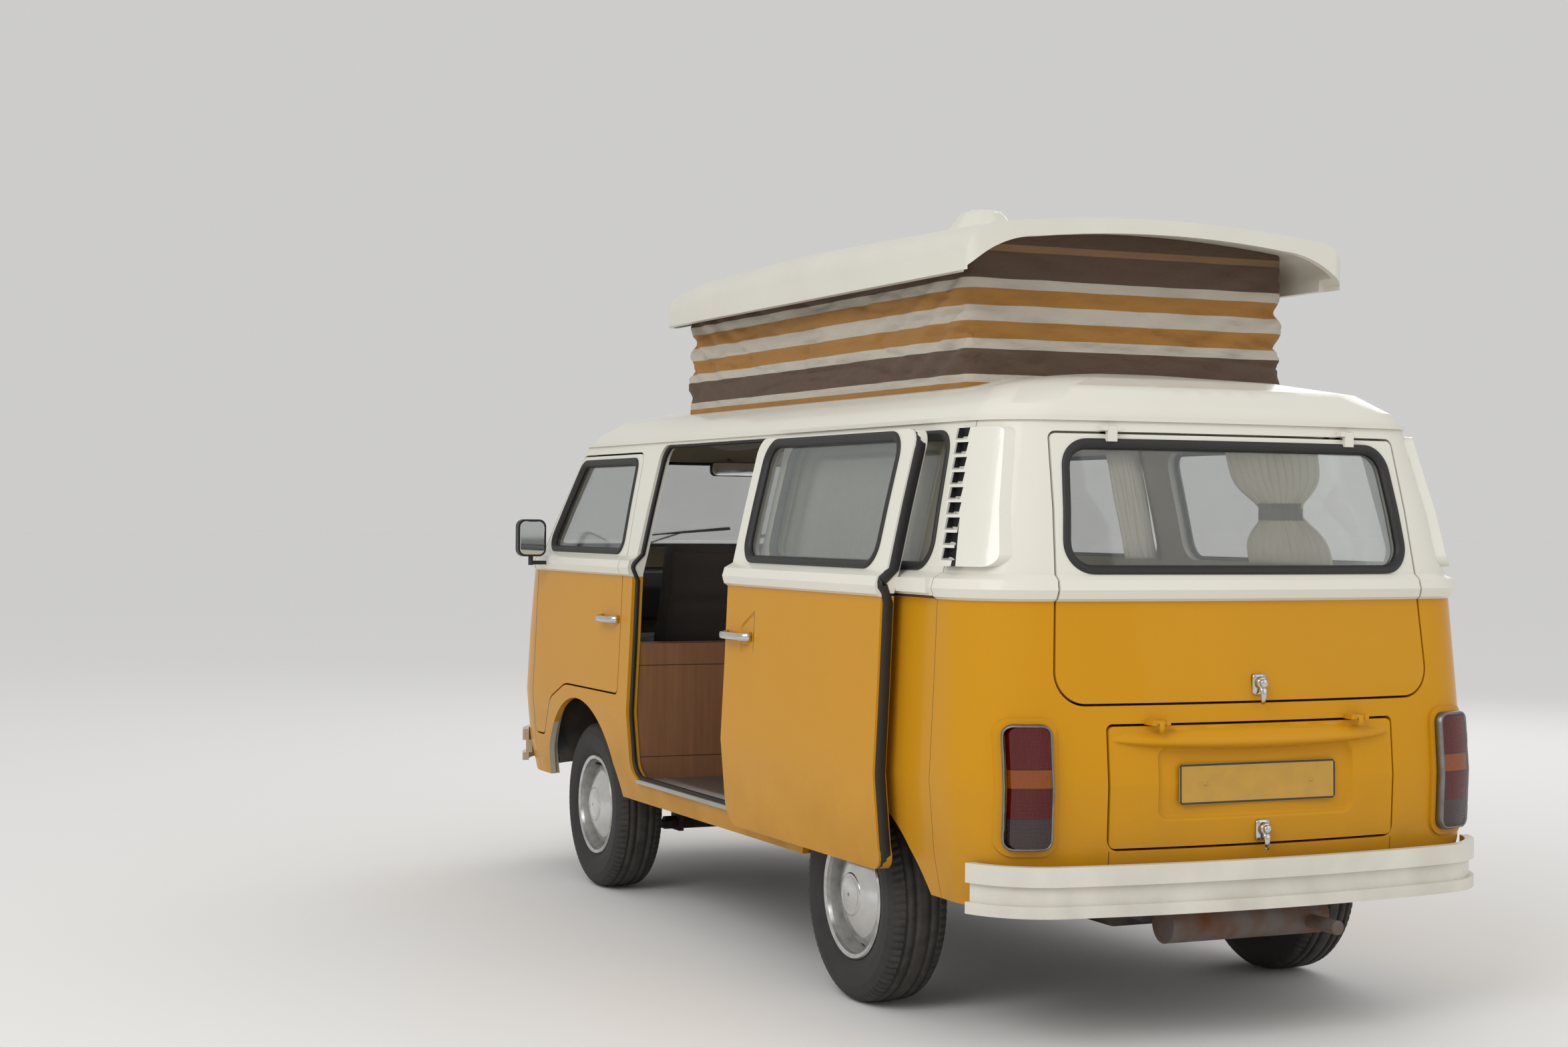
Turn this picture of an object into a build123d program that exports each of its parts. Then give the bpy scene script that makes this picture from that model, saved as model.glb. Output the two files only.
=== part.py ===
from build123d import *
from math import atan2, cos, pi, radians, sin, sqrt
import os

os.makedirs("parts", exist_ok=True)

# A forward-control camper van with a raised straight-lift roof and its engine at the back.
# Frame: +X forwards, +Y to the van's left, +Z up from the road, in millimetres.
# The origin is on the road, midway between the bumpers and between the sides.

# Chassis sizes
wheelbase = 2400
rear_overhang = 1020
front_overhang = 1085
front_track = 1395
rear_track = 1455
rear_axle_x = rear_overhang - (rear_overhang + wheelbase + front_overhang) / 2
front_axle_x = rear_axle_x + wheelbase
tyre_radius = 322
tyre_width = 185
rim_radius = 184
hub_z = tyre_radius

# Body shell
wall = 42
door_gap = 7
rebate_lip = 8
rebate_gap = 12
seat_gap = 0.3
sill_z = 400
gutter_z = 1728
belt_low = 1227
belt_high = 1306
nose_bow = 2600
tail_bow = 4200
beyond = 1300

# Plan sections of the body: height, half width, nose ahead of the front axle,
# tail behind the rear axle, nose corner radius, tail corner radius
BODY = [
    (sill_z, 818, 985, 900, 400, 180),
    (520, 842, 1028, 935, 430, 205),
    (730, 860, 1048, 943, 450, 220),
    (985, 848, 1042, 921, 450, 220),
    (1240, 838, 1000, 892, 440, 215),
    (belt_high, 821, 950, 886, 420, 210),
    (1482, 781, 785, 851, 360, 200),
    (gutter_z, 721, 555, 786, 300, 185),
]

# The raised belt roll, same columns
BELT = [
    (belt_low, 837, 1000, 891, 440, 215),
    (belt_low + 10, 852, 1014, 906, 450, 225),
    (belt_low + 34, 859, 1010, 914, 450, 225),
    (belt_high - 18, 851, 986, 906, 445, 222),
    (belt_high, 818, 944, 882, 420, 210),
]

# The roof above the gutter, same columns
ROOF = [
    (gutter_z, 721, 555, 786, 300, 185),
    (1775, 690, 498, 766, 290, 175),
    (1830, 610, 380, 690, 270, 170),
    (1866, 440, 200, 520, 230, 160),
    (1895, 180, -60, 260, 120, 110),
]
roof_skin = 26
gutter_lip = 9
gutter_depth = 12


def plan_face(z, half, nose, tail, nose_radius, tail_radius, grow=0):
    """A plan outline at a height: two straight sides, four corner arcs, a bowed nose and a bowed tail."""
    ends = []
    for tip, bow, radius, way in ((nose, nose_bow, nose_radius, 1), (tail, tail_bow, tail_radius, -1)):
        bow_x = tip - way * bow
        corner_y = half - radius
        corner_reach = sqrt((bow - radius) ** 2 - corner_y**2)
        corner_x = bow_x + way * corner_reach
        turn = atan2(corner_y, corner_reach)
        middle = (turn + pi / 2) / 2
        full = radius + grow
        side = (corner_x, half + grow)
        mid = (corner_x + way * full * cos(middle), corner_y + full * sin(middle))
        meet = (bow_x + way * (bow + grow) * cos(turn), (bow + grow) * sin(turn))
        ends.append((side, mid, meet, (tip + way * grow, 0)))
    (side_a, mid_a, meet_a, tip_a), (side_b, mid_b, meet_b, tip_b) = ends

    def flip(point):
        return (point[0], -point[1])

    with BuildSketch(Plane.XY.offset(z)) as plan:
        with BuildLine():
            Line(side_b, side_a)
            ThreePointArc(side_a, mid_a, meet_a)
            ThreePointArc(meet_a, tip_a, flip(meet_a))
            ThreePointArc(flip(meet_a), flip(mid_a), flip(side_a))
            Line(flip(side_a), flip(side_b))
            ThreePointArc(flip(side_b), flip(mid_b), flip(meet_b))
            ThreePointArc(flip(meet_b), tip_b, meet_b)
            ThreePointArc(meet_b, mid_b, side_b)
        make_face()
    return plan.sketch


def form(sections, grow=0, lift=0):
    """A solid through plan sections, each grown outwards by an offset, the whole lifted."""
    plans = [
        plan_face(z + lift, half, front_axle_x + ahead, rear_axle_x - behind, nose_radius, tail_radius, grow)
        for z, half, ahead, behind, nose_radius, tail_radius in sections
    ]
    with BuildPart() as solid:
        loft(plans, ruled=True)
    return solid.part


def rounded_face(plane, corners, inset=0):
    """A face on a plane given by its corners: two coordinates and a rounding radius."""
    with BuildSketch(plane) as face:
        with BuildLine():
            FilletPolyline(*[(a, b) for a, b, _ in corners], radius=[r for _, _, r in corners], close=True)
        make_face()
        if inset:
            offset(amount=-inset)
    return face.sketch


def side_prism(corners, side, inset=0):
    """A prism out through one side wall, side 1 for left and -1 for right, from corners in x, z."""
    with BuildPart() as prism:
        extrude(rounded_face(Plane.XZ.offset(-side * 300), corners, inset), amount=-side * beyond)
    return prism.part


def end_prism(corners, way, inset=0):
    """A prism out through the nose (way 1) or the tail (way -1), from corners in y, z."""
    with BuildPart() as prism:
        extrude(rounded_face(Plane.YZ.offset(way * 500), corners, inset), amount=way * 3000)
    return prism.part


def block(x_range, y_range, z_range):
    """A plain block between two values on each axis."""
    size = [high - low for low, high in (x_range, y_range, z_range)]
    middle = [(high + low) / 2 for low, high in (x_range, y_range, z_range)]
    with BuildPart() as solid:
        with Locations(tuple(middle)):
            Box(*size)
    return solid.part


def dome_fall(radius, height):
    """How far a spherical dome falls from its top at half its radius."""
    ball = (radius**2 + height**2) / (2 * height)
    return ball - sqrt(ball**2 - radius**2 / 4)


def half_at(z):
    """The body's half width at a height, between its plan sections."""
    for (low, half_low, *_), (high, half_high, *_) in zip(BODY, BODY[1:]):
        if low <= z <= high:
            return half_low + (half_high - half_low) * (z - low) / (high - low)
    return BODY[-1][1]


def save(name, solid):
    """Labels a finished piece and writes it."""
    solid.label = name
    export_step(solid, f"parts/{name}.step")


# Openings in the side walls, as corners: x, z, rounding radius
cab_door_rear = front_axle_x - 463
cab_door_front = front_axle_x + 550
cab_door_top = 1696
cab_door_low = 784
cab_door_step = 560
arch_radius = 440
arch_z = 300
CAB_DOOR = [
    (cab_door_rear, cab_door_low, 30),
    (cab_door_rear, belt_high, 300),
    (cab_door_rear + 66, cab_door_top, 50),
    (cab_door_front - 232, cab_door_top, 60),
    (cab_door_front, belt_high - 16, 120),
    (cab_door_front, cab_door_step, 40),
    (front_axle_x + 432, cab_door_step, 30),
    (front_axle_x + 330, cab_door_low - 70, 120),
    (front_axle_x + 150, cab_door_low, 200),
]
CAB_WINDOW = [
    (cab_door_rear + 70, 1318, 40),
    (cab_door_rear + 118, cab_door_top - 36, 40),
    (cab_door_front - 272, cab_door_top - 36, 50),
    (cab_door_front - 78, 1318, 40),
]
slide_open_rear = rear_axle_x + 691
door_pillar = 101
slide_open_front = cab_door_rear - door_pillar
slide_open_low = 485
slide_open_high = 1717
slide_back = slide_open_front - slide_open_rear - 50
slide_out = 75
slide_door_low = 449
SLIDE_OPENING = [
    (slide_open_rear, slide_open_low, 70),
    (slide_open_rear, slide_open_high, 60),
    (slide_open_front, slide_open_high, 60),
    (slide_open_front, slide_open_low, 70),
]
SLIDE_DOOR = [
    (slide_open_rear + door_gap, slide_door_low, 60),
    (slide_open_rear + door_gap, slide_open_high - door_gap, 55),
    (slide_open_front - door_gap, slide_open_high - door_gap, 55),
    (slide_open_front - door_gap, slide_door_low, 60),
]
window_low = 1316
window_high = 1690
MID_WINDOW = [
    (slide_open_rear + 95, window_low, 65),
    (slide_open_rear + 95, window_high, 65),
    (slide_open_front - 91, window_high, 65),
    (slide_open_front - 91, window_low, 65),
]
QUARTER_WINDOW = [
    (rear_axle_x - 512, window_low, 65),
    (rear_axle_x - 462, window_high, 65),
    (slide_open_rear - 70, window_high, 65),
    (slide_open_rear - 70, window_low, 65),
]
rear_arch_radius = 494
rear_arch_x = rear_axle_x - 101
rear_arch_z = 171

# Openings in the nose and tail, as corners: y, z, rounding radius
gate_low = 946
gate_high = 1698
TAILGATE = [(-630, gate_low, 90), (-583, gate_high, 25), (583, gate_high, 25), (630, gate_low, 90)]
REAR_WINDOW = [(-567, 1314, 70), (-532, 1662, 70), (532, 1662, 70), (567, 1314, 70)]
lid_low = 552
lid_high = 897
lid_half = 477
ENGINE_LID = [(-lid_half, lid_low, 35), (-lid_half, lid_high, 18), (lid_half, lid_high, 18), (lid_half, lid_low, 35)]
WINDSCREEN = [(-748, 1322, 90), (-640, 1684, 90), (640, 1684, 90), (748, 1322, 90)]

# The outer and inner forms of the shell, and the shell itself
outer = form(BODY) + form(BELT)
inner = form(BODY, -wall)
shell = outer - inner
clear_body = form(BODY, seat_gap) + form(BELT, seat_gap)


def both_sides(corners, inset=0):
    return side_prism(corners, 1, inset) + side_prism(corners, -1, inset)


def arch_prism(x, z, radius):
    """A cylinder across the whole body, which opens the wheel arches."""
    with BuildPart() as arch:
        with BuildSketch(Plane.XZ.offset(-beyond)):
            with Locations((x, z)):
                Circle(radius)
        extrude(amount=2 * beyond)
    return arch.part


# Wheel arches in the sides, and room inside the lips for the tyres
tyre_room = tyre_radius + 26
lip = 22
front_arches = arch_prism(front_axle_x, arch_z, arch_radius)
rear_arches = arch_prism(rear_arch_x, rear_arch_z, rear_arch_radius)
inside_lips = form(BODY, -lip)
wheel_room = inside_lips & (arch_prism(rear_axle_x, hub_z, tyre_room) + arch_prism(front_axle_x, hub_z, arch_radius + 10))

# The seams where the nose, side and tail panels meet
tail_seam_x = rear_axle_x - 600
NOSE_SEAM = [
    (cab_door_front + 3, sill_z - 50, 0),
    (cab_door_front + 3, belt_high - 16, 0),
    (cab_door_front - 229, cab_door_top + 3, 0),
    (cab_door_front - 229, gutter_z + 50, 0),
    (front_axle_x + 1300, gutter_z + 50, 0),
    (front_axle_x + 1300, sill_z - 50, 0),
]
nose_zone = both_sides(NOSE_SEAM) + block((cab_door_front - 229, front_axle_x + 1300), (-320, 320), (sill_z - 50, gutter_z + 50))
tail_zone = block((rear_axle_x - 1300, tail_seam_x), (-beyond, beyond), (sill_z - 50, gutter_z + 50))

# Lamps let into the nose and tail
headlamp_y = 572
headlamp_z = 800
headlamp_radius = 96
headlamp_face = front_axle_x + 1040
with BuildPart() as headlamp_holes:
    for y in (headlamp_y, -headlamp_y):
        with BuildSketch(Plane.YZ.offset(front_axle_x + 700)):
            with Locations((y, headlamp_z)):
                Circle(headlamp_radius)
        extrude(amount=600)

# Nose panel, from bumper to gutter, with the windscreen opening
front_panel = (shell & nose_zone) - end_prism(WINDSCREEN, 1) - headlamp_holes.part
save("front_panel", front_panel)

# Tail panel with the engine lid and tailgate openings and a raised housing round each tail lamp
lamp_inner = 650
lamp_outer = 762
lamp_low = 569
lamp_high = 893


def lamp_outline(side, grow):
    return [
        (side * (lamp_inner - grow), lamp_low - grow, 20 + grow),
        (side * (lamp_inner - grow), lamp_high + grow, 20 + grow),
        (side * (lamp_outer + grow), lamp_high + grow, 20 + grow),
        (side * (lamp_outer + grow), lamp_low - grow, 20 + grow),
    ]


housing_form = form(BODY, 9)
lamp_form = form(BODY, 30)
rear_panel = shell & tail_zone
for side in (1, -1):
    rear_panel += (housing_form & end_prism(lamp_outline(side, 24), -1)) - outer
rear_panel = rear_panel - end_prism(TAILGATE, -1) - end_prism(ENGINE_LID, -1)

# Tail lamps, seated on their housings
with BuildPart() as tail_lamps:
    for side in (1, -1):
        add((lamp_form & end_prism(lamp_outline(side, 0), -1)) - housing_form)
save("tail_lamps", tail_lamps.part)

# Sides between the panels, with the door openings, windows and wheel arches
side_wall = shell - nose_zone - tail_zone - front_arches - rear_arches - wheel_room
jambs = form(BODY, -rebate_lip) & (both_sides(CAB_DOOR, -rebate_gap) - nose_zone)
side_wall = side_wall - both_sides(CAB_DOOR) - jambs
left_side = side_wall & block((-3000, 3000), (0, beyond), (0, 2000))
left_side = left_side - side_prism(SLIDE_OPENING, 1) - side_prism(QUARTER_WINDOW, 1)
save("left_side", left_side)
right_side = side_wall & block((-3000, 3000), (-beyond, 0), (0, 2000))
right_side = right_side - side_prism(MID_WINDOW, -1) - side_prism(QUARTER_WINDOW, -1)
save("right_side", right_side)

# Fixed glass, held in the middle of the wall
glass_depth = 12
glass_thickness = 6
pane = form(BODY, -glass_depth) - form(BODY, -glass_depth - glass_thickness)
with BuildPart() as side_windows:
    add(pane & side_prism(QUARTER_WINDOW, 1))
    add(pane & side_prism(QUARTER_WINDOW, -1))
    add(pane & side_prism(MID_WINDOW, -1))
save("side_windows", side_windows.part)
save("windscreen", pane & end_prism(WINDSCREEN, 1))

# Air intakes at the rear upper corners, each with a ladder of square slots
INTAKE = [
    (rear_axle_x - 536, 1708, 10),
    (rear_axle_x - 712, 1708, 20),
    (rear_axle_x - 806, 1322, 30),
    (rear_axle_x - 612, 1322, 10),
]
slot_count = 9
slot_pitch = 42
slot_height = 34
slot_low = 1355
slot_lean = 0.21
scoop_form = form(BODY, 24)
with BuildPart() as air_intakes:
    for side in (1, -1):
        scoop = (scoop_form & side_prism(INTAKE, side)) - outer
        for i in range(slot_count):
            z = slot_low + i * slot_pitch
            x = rear_axle_x - 650 + i * slot_pitch * slot_lean
            low, high = sorted((side * (half_at(z) + 2), side * beyond))
            scoop -= block((x - 32, x + 34), (low, high), (z - slot_height / 2, z + slot_height / 2))
        add(scoop)
save("air_intakes", air_intakes.part)

# Roof, open under the lifting cap, with a gutter lip all round
cap_rear = rear_axle_x - 430
cap_front = front_axle_x - 310
canvas_rear = cap_rear + 176
canvas_front = cap_front - 95
canvas_half = 573
roof_hole_edge = 55
with BuildPart() as gutter:
    extrude(
        plan_face(gutter_z, 721, front_axle_x + 555, rear_axle_x - 786, 300, 185, gutter_lip), amount=gutter_depth
    )
roof_outer = form(ROOF)
roof = (roof_outer + gutter.part) - form(ROOF, -roof_skin, -roof_skin) - block(
    (rear_axle_x - 700, front_axle_x + 400), (-600, 600), (gutter_z - 10, gutter_z + 10)
)
roof = roof - block(
    (canvas_rear + roof_hole_edge, canvas_front - roof_hole_edge),
    (-canvas_half + roof_hole_edge, canvas_half - roof_hole_edge),
    (gutter_z - 50, 2000),
)
save("roof", roof)

# Lifting cap: a moulded shell with rounded shoulders, a sloping nose and an open, arched tail
lift_travel = 335
cap_half = 656
cap_low = 2170
cap_crown = 2374
cap_tail_z = 2344
cap_nose_z = 2334
cap_skin = 30
cap_lip = 43
cap_shoulder = 95
cap_bow = 47
cap_foot = cap_low - 300

# Cap sections: where along the van, crown height
CAP = [
    (cap_rear - 50, cap_tail_z),
    ((cap_rear + cap_front) / 2, cap_crown),
    (cap_front - 370, cap_crown - 12),
    (cap_front - 60, cap_nose_z),
    (cap_front + 60, cap_nose_z - 50),
]


def cap_section(x, crown, inset):
    """A cross-section of the cap: upright sides, rounded shoulders and a gently bowed crown."""
    half = cap_half - inset
    spring = crown - inset - cap_bow * (half / cap_half) ** 2
    with BuildSketch(Plane.YZ.offset(x)) as section:
        with BuildLine():
            Line((-half, cap_foot), (half, cap_foot))
            Line((half, cap_foot), (half, spring))
            ThreePointArc((half, spring), (0, crown - inset), (-half, spring))
            Line((-half, spring), (-half, cap_foot))
        make_face()
        fillet(section.vertices().group_by(Axis.Y)[-1], radius=cap_shoulder - inset)
    return section.sketch


def cap_form(inset):
    """The cap's outer form, or its inner one at an inset, open through the tail."""
    plan_corners = [
        (cap_rear, cap_half + 2, 40),
        (cap_rear, -cap_half - 2, 40),
        (cap_front - inset, -cap_half - 2, 170),
        (cap_front - inset, cap_half + 2, 170),
    ]
    with BuildPart() as cap:
        loft([cap_section(x, crown, inset) for x, crown in CAP], ruled=True)
        extrude(
            rounded_face(Plane.XY.offset(cap_foot - 20), plan_corners), amount=1000, mode=Mode.INTERSECT
        )
    return cap.part


cap_outer = cap_form(0)
cap_inner = cap_form(cap_skin)
tail_band = cap_outer & block((cap_rear - 10, cap_rear + 24), (-1000, 1000), (cap_low - 10, cap_crown))

# The arch of the tail opening, which flares out to the feet of the skirts
arch_y = cap_half - 226
arch_foot_y = cap_half - 4
arch_crown = cap_tail_z - cap_lip
arch_side_z = arch_crown - 25
with BuildPart() as tail_arch:
    with BuildSketch(Plane.YZ.offset(cap_rear - 60)):
        with BuildLine():
            ThreePointArc((-arch_y, arch_side_z), (0, arch_crown), (arch_y, arch_side_z))
            ThreePointArc((arch_y, arch_side_z), (arch_y + 136, arch_side_z - 34), (arch_foot_y, cap_low + 12))
            Line((arch_foot_y, cap_low + 12), (arch_foot_y, cap_foot))
            Line((arch_foot_y, cap_foot), (-arch_foot_y, cap_foot))
            Line((-arch_foot_y, cap_foot), (-arch_foot_y, cap_low + 12))
            ThreePointArc((-arch_foot_y, cap_low + 12), (-arch_y - 136, arch_side_z - 34), (-arch_y, arch_side_z))
        make_face()
    extrude(amount=150)
cap_shell = (cap_outer - cap_inner + tail_band) - tail_arch.part
cap_shell = cap_shell - block((-3000, 3000), (-1000, 1000), (0, cap_low))
cap_shell = cap_shell - form(ROOF, 8, lift_travel)
save("pop_top_cap", cap_shell)

# Round vent on the cap
vent_x = rear_axle_x + 335
vent_y = 200
vent_radius = 115
vent_rise = 72
vent_top = cap_crown + vent_rise
vent_foot = cap_tail_z - 80
with BuildPart() as roof_vent:
    with BuildSketch(Plane.XZ.offset(-vent_y)):
        with BuildLine():
            Line((vent_x, vent_foot), (vent_x + vent_radius - 20, vent_foot))
            Line((vent_x + vent_radius - 20, vent_foot), (vent_x + vent_radius - 20, vent_top - 62))
            Line((vent_x + vent_radius - 20, vent_top - 62), (vent_x + vent_radius, vent_top - 58))
            ThreePointArc(
                (vent_x + vent_radius, vent_top - 58),
                (vent_x + vent_radius / 2, vent_top - dome_fall(vent_radius, 58)),
                (vent_x, vent_top),
            )
            Line((vent_x, vent_top), (vent_x, vent_foot))
        make_face()
    revolve(axis=Axis((vent_x, vent_y, 0), (0, 0, 1)))
save("roof_vent", roof_vent.part - cap_outer)

# Canvas wall between the roof and the cap
canvas_skin = 12
with BuildPart() as canvas_ring:
    with BuildSketch(Plane.XY.offset(gutter_z + 60)):
        for half, mode in ((0, Mode.ADD), (canvas_skin, Mode.SUBTRACT)):
            with Locations(((canvas_front + canvas_rear) / 2, 0)):
                RectangleRounded(
                    canvas_front - canvas_rear - 2 * half, 2 * canvas_half - 2 * half, 60 - half, mode=mode
                )
    extrude(amount=cap_crown - gutter_z)
ceiling = cap_form(cap_skin + 0.5) & block((-3000, 3000), (-1000, 1000), (1700, 2500))
canvas = (canvas_ring.part & (ceiling + block((-3000, 3000), (-700, 700), (1700, cap_low)))) - form(ROOF, 0.5)
save("pop_top_canvas", canvas)

# Sliding door, rolled back along the side and standing out from it
door_shift = Location((-slide_back, slide_out, 0))
sliding_door = (shell & side_prism(SLIDE_DOOR, 1)) - side_prism(MID_WINDOW, 1)
save("sliding_door", sliding_door.moved(door_shift))
save("sliding_door_glass", (pane & side_prism(MID_WINDOW, 1)).moved(door_shift))

# Rail in the belt, and the three arms that carry the sliding door
rail_low = 1246
rail_high = 1286
rail_out = 867
arm_x = slide_open_rear + 20
door_open = sliding_door.moved(door_shift)
with BuildPart() as runners:
    add(block((tail_seam_x + 20, slide_open_rear - 4), (700, rail_out), (rail_low, rail_high)))
    add(block((rear_axle_x - 330, rear_axle_x - 270), (700, 890), (rail_low + 4, rail_high - 4)))
arms = runners.part - outer - door_open
for low, high, inner_y, outer_y in ((524, 538, 740, 890), (1668, 1682, 655, 780)):
    arm = block((slide_open_rear - 50, arm_x + 12), (inner_y, inner_y + 60), (low, high))
    arm += block((arm_x - 10, arm_x + 12), (inner_y, outer_y), (low, high))
    arms += arm - left_side - door_open
save("sliding_door_runners", arms)

# Cab doors, hinged at their front edges
for side, name in ((1, "left"), (-1, "right")):
    door = (shell & side_prism(CAB_DOOR, side, door_gap)) - side_prism(CAB_WINDOW, side)
    save(f"{name}_cab_door", door)
    save(f"{name}_door_glass", pane & side_prism(CAB_WINDOW, side))
    mirror_x = cab_door_front - 160
    mirror_y = 925
    mirror_z = 1362
    with BuildPart() as mirror_part:
        with BuildSketch(Plane.YZ.offset(mirror_x - 18)):
            with Locations((side * mirror_y, mirror_z)):
                RectangleRounded(118, 150, 30)
        extrude(amount=36)
        with BuildSketch(Plane.XZ.offset(-side * 790)):
            with Locations((mirror_x, mirror_z - 100)):
                Circle(8)
        extrude(amount=-side * (mirror_y - 790))
        with BuildSketch(Plane.XY.offset(mirror_z - 110)):
            with Locations((mirror_x, side * mirror_y)):
                Circle(10)
        extrude(amount=60)
    save(f"{name}_mirror", mirror_part.part - clear_body)

# Hinge barrels on a panel's top edge, and the fixed lugs beside them
hinge_pin = 6
hinge_width = 30
hinge_reach = 40
lug_width = 14
leaf_drop = 36


def hinge_parts(x, z, y_places, panel_top):
    """Barrels with leaves that run down onto a panel, and the fixed lugs beside them, on an axis along Y."""
    with BuildPart() as barrels:
        for y in y_places:
            with BuildSketch(Plane.XZ.offset(-y - hinge_width / 2)):
                with Locations((x, z)):
                    Circle(hinge_pin)
            extrude(amount=hinge_width)
            leaf_y = (y - hinge_width / 2, y + hinge_width / 2)
            add(block((x - hinge_pin - 2, x + hinge_pin), leaf_y, (z - leaf_drop, z)))
            add(block((x - hinge_pin - 2, x + hinge_reach), leaf_y, (z - leaf_drop, panel_top - 2)))
    with BuildPart() as lugs:
        for y in y_places:
            for step in (-1, 1):
                middle = y + step * (hinge_width / 2 + seat_gap + lug_width / 2)
                add(
                    block(
                        (x - hinge_pin - 2, x + hinge_reach),
                        (middle - lug_width / 2, middle + lug_width / 2),
                        (z - hinge_pin, z + hinge_pin + 2),
                    )
                )
    return barrels.part, lugs.part


# Tailgate and its window, hinged along the top
gate = (shell & end_prism(TAILGATE, -1, door_gap)) - end_prism(REAR_WINDOW, -1)
gate_hinge_x = rear_axle_x - 791
gate_hinge_z = gate_high + 8
gate_barrels, gate_lugs = hinge_parts(gate_hinge_x, gate_hinge_z, (-400, 400), gate_high - door_gap)
save("tailgate", gate + (gate_barrels - inner))
save("tailgate_glass", pane & end_prism(REAR_WINDOW, -1))

# Engine lid with its plate recess and the bulging lip above the recess
plate_half = 320
plate_low = 636
plate_high = 829
lip_half = 455
lip_high = lid_high - 10
engine_lid = shell & end_prism(ENGINE_LID, -1, door_gap)
LID_LIP = [
    (-lip_half, 862, 0),
    (-plate_half, plate_high - 6, 60),
    (plate_half, plate_high - 6, 60),
    (lip_half, 862, 0),
    (plate_half, lip_high, 60),
    (-plate_half, lip_high, 60),
]
engine_lid += (form(BODY, 22) & end_prism(LID_LIP, -1)) - outer
RECESS = [
    (-plate_half, plate_low, 15),
    (-plate_half, plate_high, 15),
    (plate_half, plate_high, 15),
    (plate_half, plate_low, 15),
]
engine_lid -= end_prism(RECESS, -1) - form(BODY, -12)
lid_hinge_x = rear_axle_x - 944
lid_hinge_z = lid_high + 3
lid_barrels, lid_lugs = hinge_parts(lid_hinge_x, lid_hinge_z, (-331, 331), lid_high - door_gap)
save("engine_lid", engine_lid + (lid_barrels - inner))
save("rear_panel", rear_panel + (gate_lugs - inner) + (lid_lugs - inner))


# Bumpers, in three bands: heights, then how far each band is set in
def bumper(bands, half, nose_ahead, tail_behind, radius, keep):
    thickness = 26
    with BuildPart() as bar:
        for low, high, inset in bands:
            for grow, mode in ((-inset, Mode.ADD), (-inset - thickness, Mode.SUBTRACT)):
                plan = plan_face(
                    low, half, front_axle_x + nose_ahead, rear_axle_x - tail_behind, radius, radius, grow
                )
                extrude(plan, amount=high - low, mode=mode)
        add(keep, mode=Mode.INTERSECT)
    return bar.part


rear_bands = ((388, 420, 0), (420, 472, 14), (472, 525, 0))
rear_bumper = bumper(
    rear_bands, 858, front_overhang, rear_overhang, 260, block((-3000, rear_axle_x - 790), (-900, 900), (300, 600))
)
front_bands = ((430, 462, 0), (462, 514, 14), (514, 560, 0))
front_bumper = bumper(
    front_bands, 862, front_overhang, rear_overhang, 430, block((front_axle_x + 700, 3000), (-900, 900), (300, 600))
)
for y in (380, -380):
    rear_bumper += block((rear_axle_x - rear_overhang + 46, rear_axle_x - 860), (y - 25, y + 25), (425, 465))
    front_bumper += block((front_axle_x + 940, front_axle_x + front_overhang - 56), (y - 25, y + 25), (466, 506))
save("rear_bumper", rear_bumper - clear_body)
save("front_bumper", front_bumper - clear_body)

# Headlamps with domed lenses, and the indicators above them
with BuildPart() as front_lamps:
    for y in (headlamp_y, -headlamp_y):
        with BuildSketch(Plane.XY.offset(headlamp_z)):
            with BuildLine():
                Line((headlamp_face - 150, y), (headlamp_face, y))
                Line((headlamp_face - 150, y), (headlamp_face - 150, y + headlamp_radius))
                Line((headlamp_face - 150, y + headlamp_radius), (headlamp_face - 22, y + headlamp_radius))
                ThreePointArc(
                    (headlamp_face - 22, y + headlamp_radius),
                    (headlamp_face - dome_fall(headlamp_radius, 22), y + headlamp_radius / 2),
                    (headlamp_face, y),
                )
            make_face()
        revolve(axis=Axis((0, y, headlamp_z), (1, 0, 0)))
indicator_form = form(BODY, 14)
INDICATOR = [(470, 1072, 12), (470, 1146, 12), (645, 1146, 12), (645, 1072, 12)]
for side in (1, -1):
    corners = [(side * y, z, r) for y, z, r in INDICATOR]
    indicator = (indicator_form & end_prism(corners, 1)) - outer
    save_lamp = indicator if side > 0 else save_lamp + indicator
save("front_lamps", front_lamps.part + save_lamp)

# Fresh air grille between the indicators, with slats
GRILLE = [(-452, 1076, 10), (-452, 1142, 10), (452, 1142, 10), (452, 1076, 10)]
grille = (form(BODY, 12) & end_prism(GRILLE, 1)) - outer
with BuildPart() as grille_slots:
    for i in range(4):
        z = 1085 + i * 14
        add(block((front_axle_x + 900, front_axle_x + 1200), (-430, 430), (z, z + 6)))
grille -= grille_slots.part - form(BODY, 4)
save("fresh_air_grille", grille)

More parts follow.
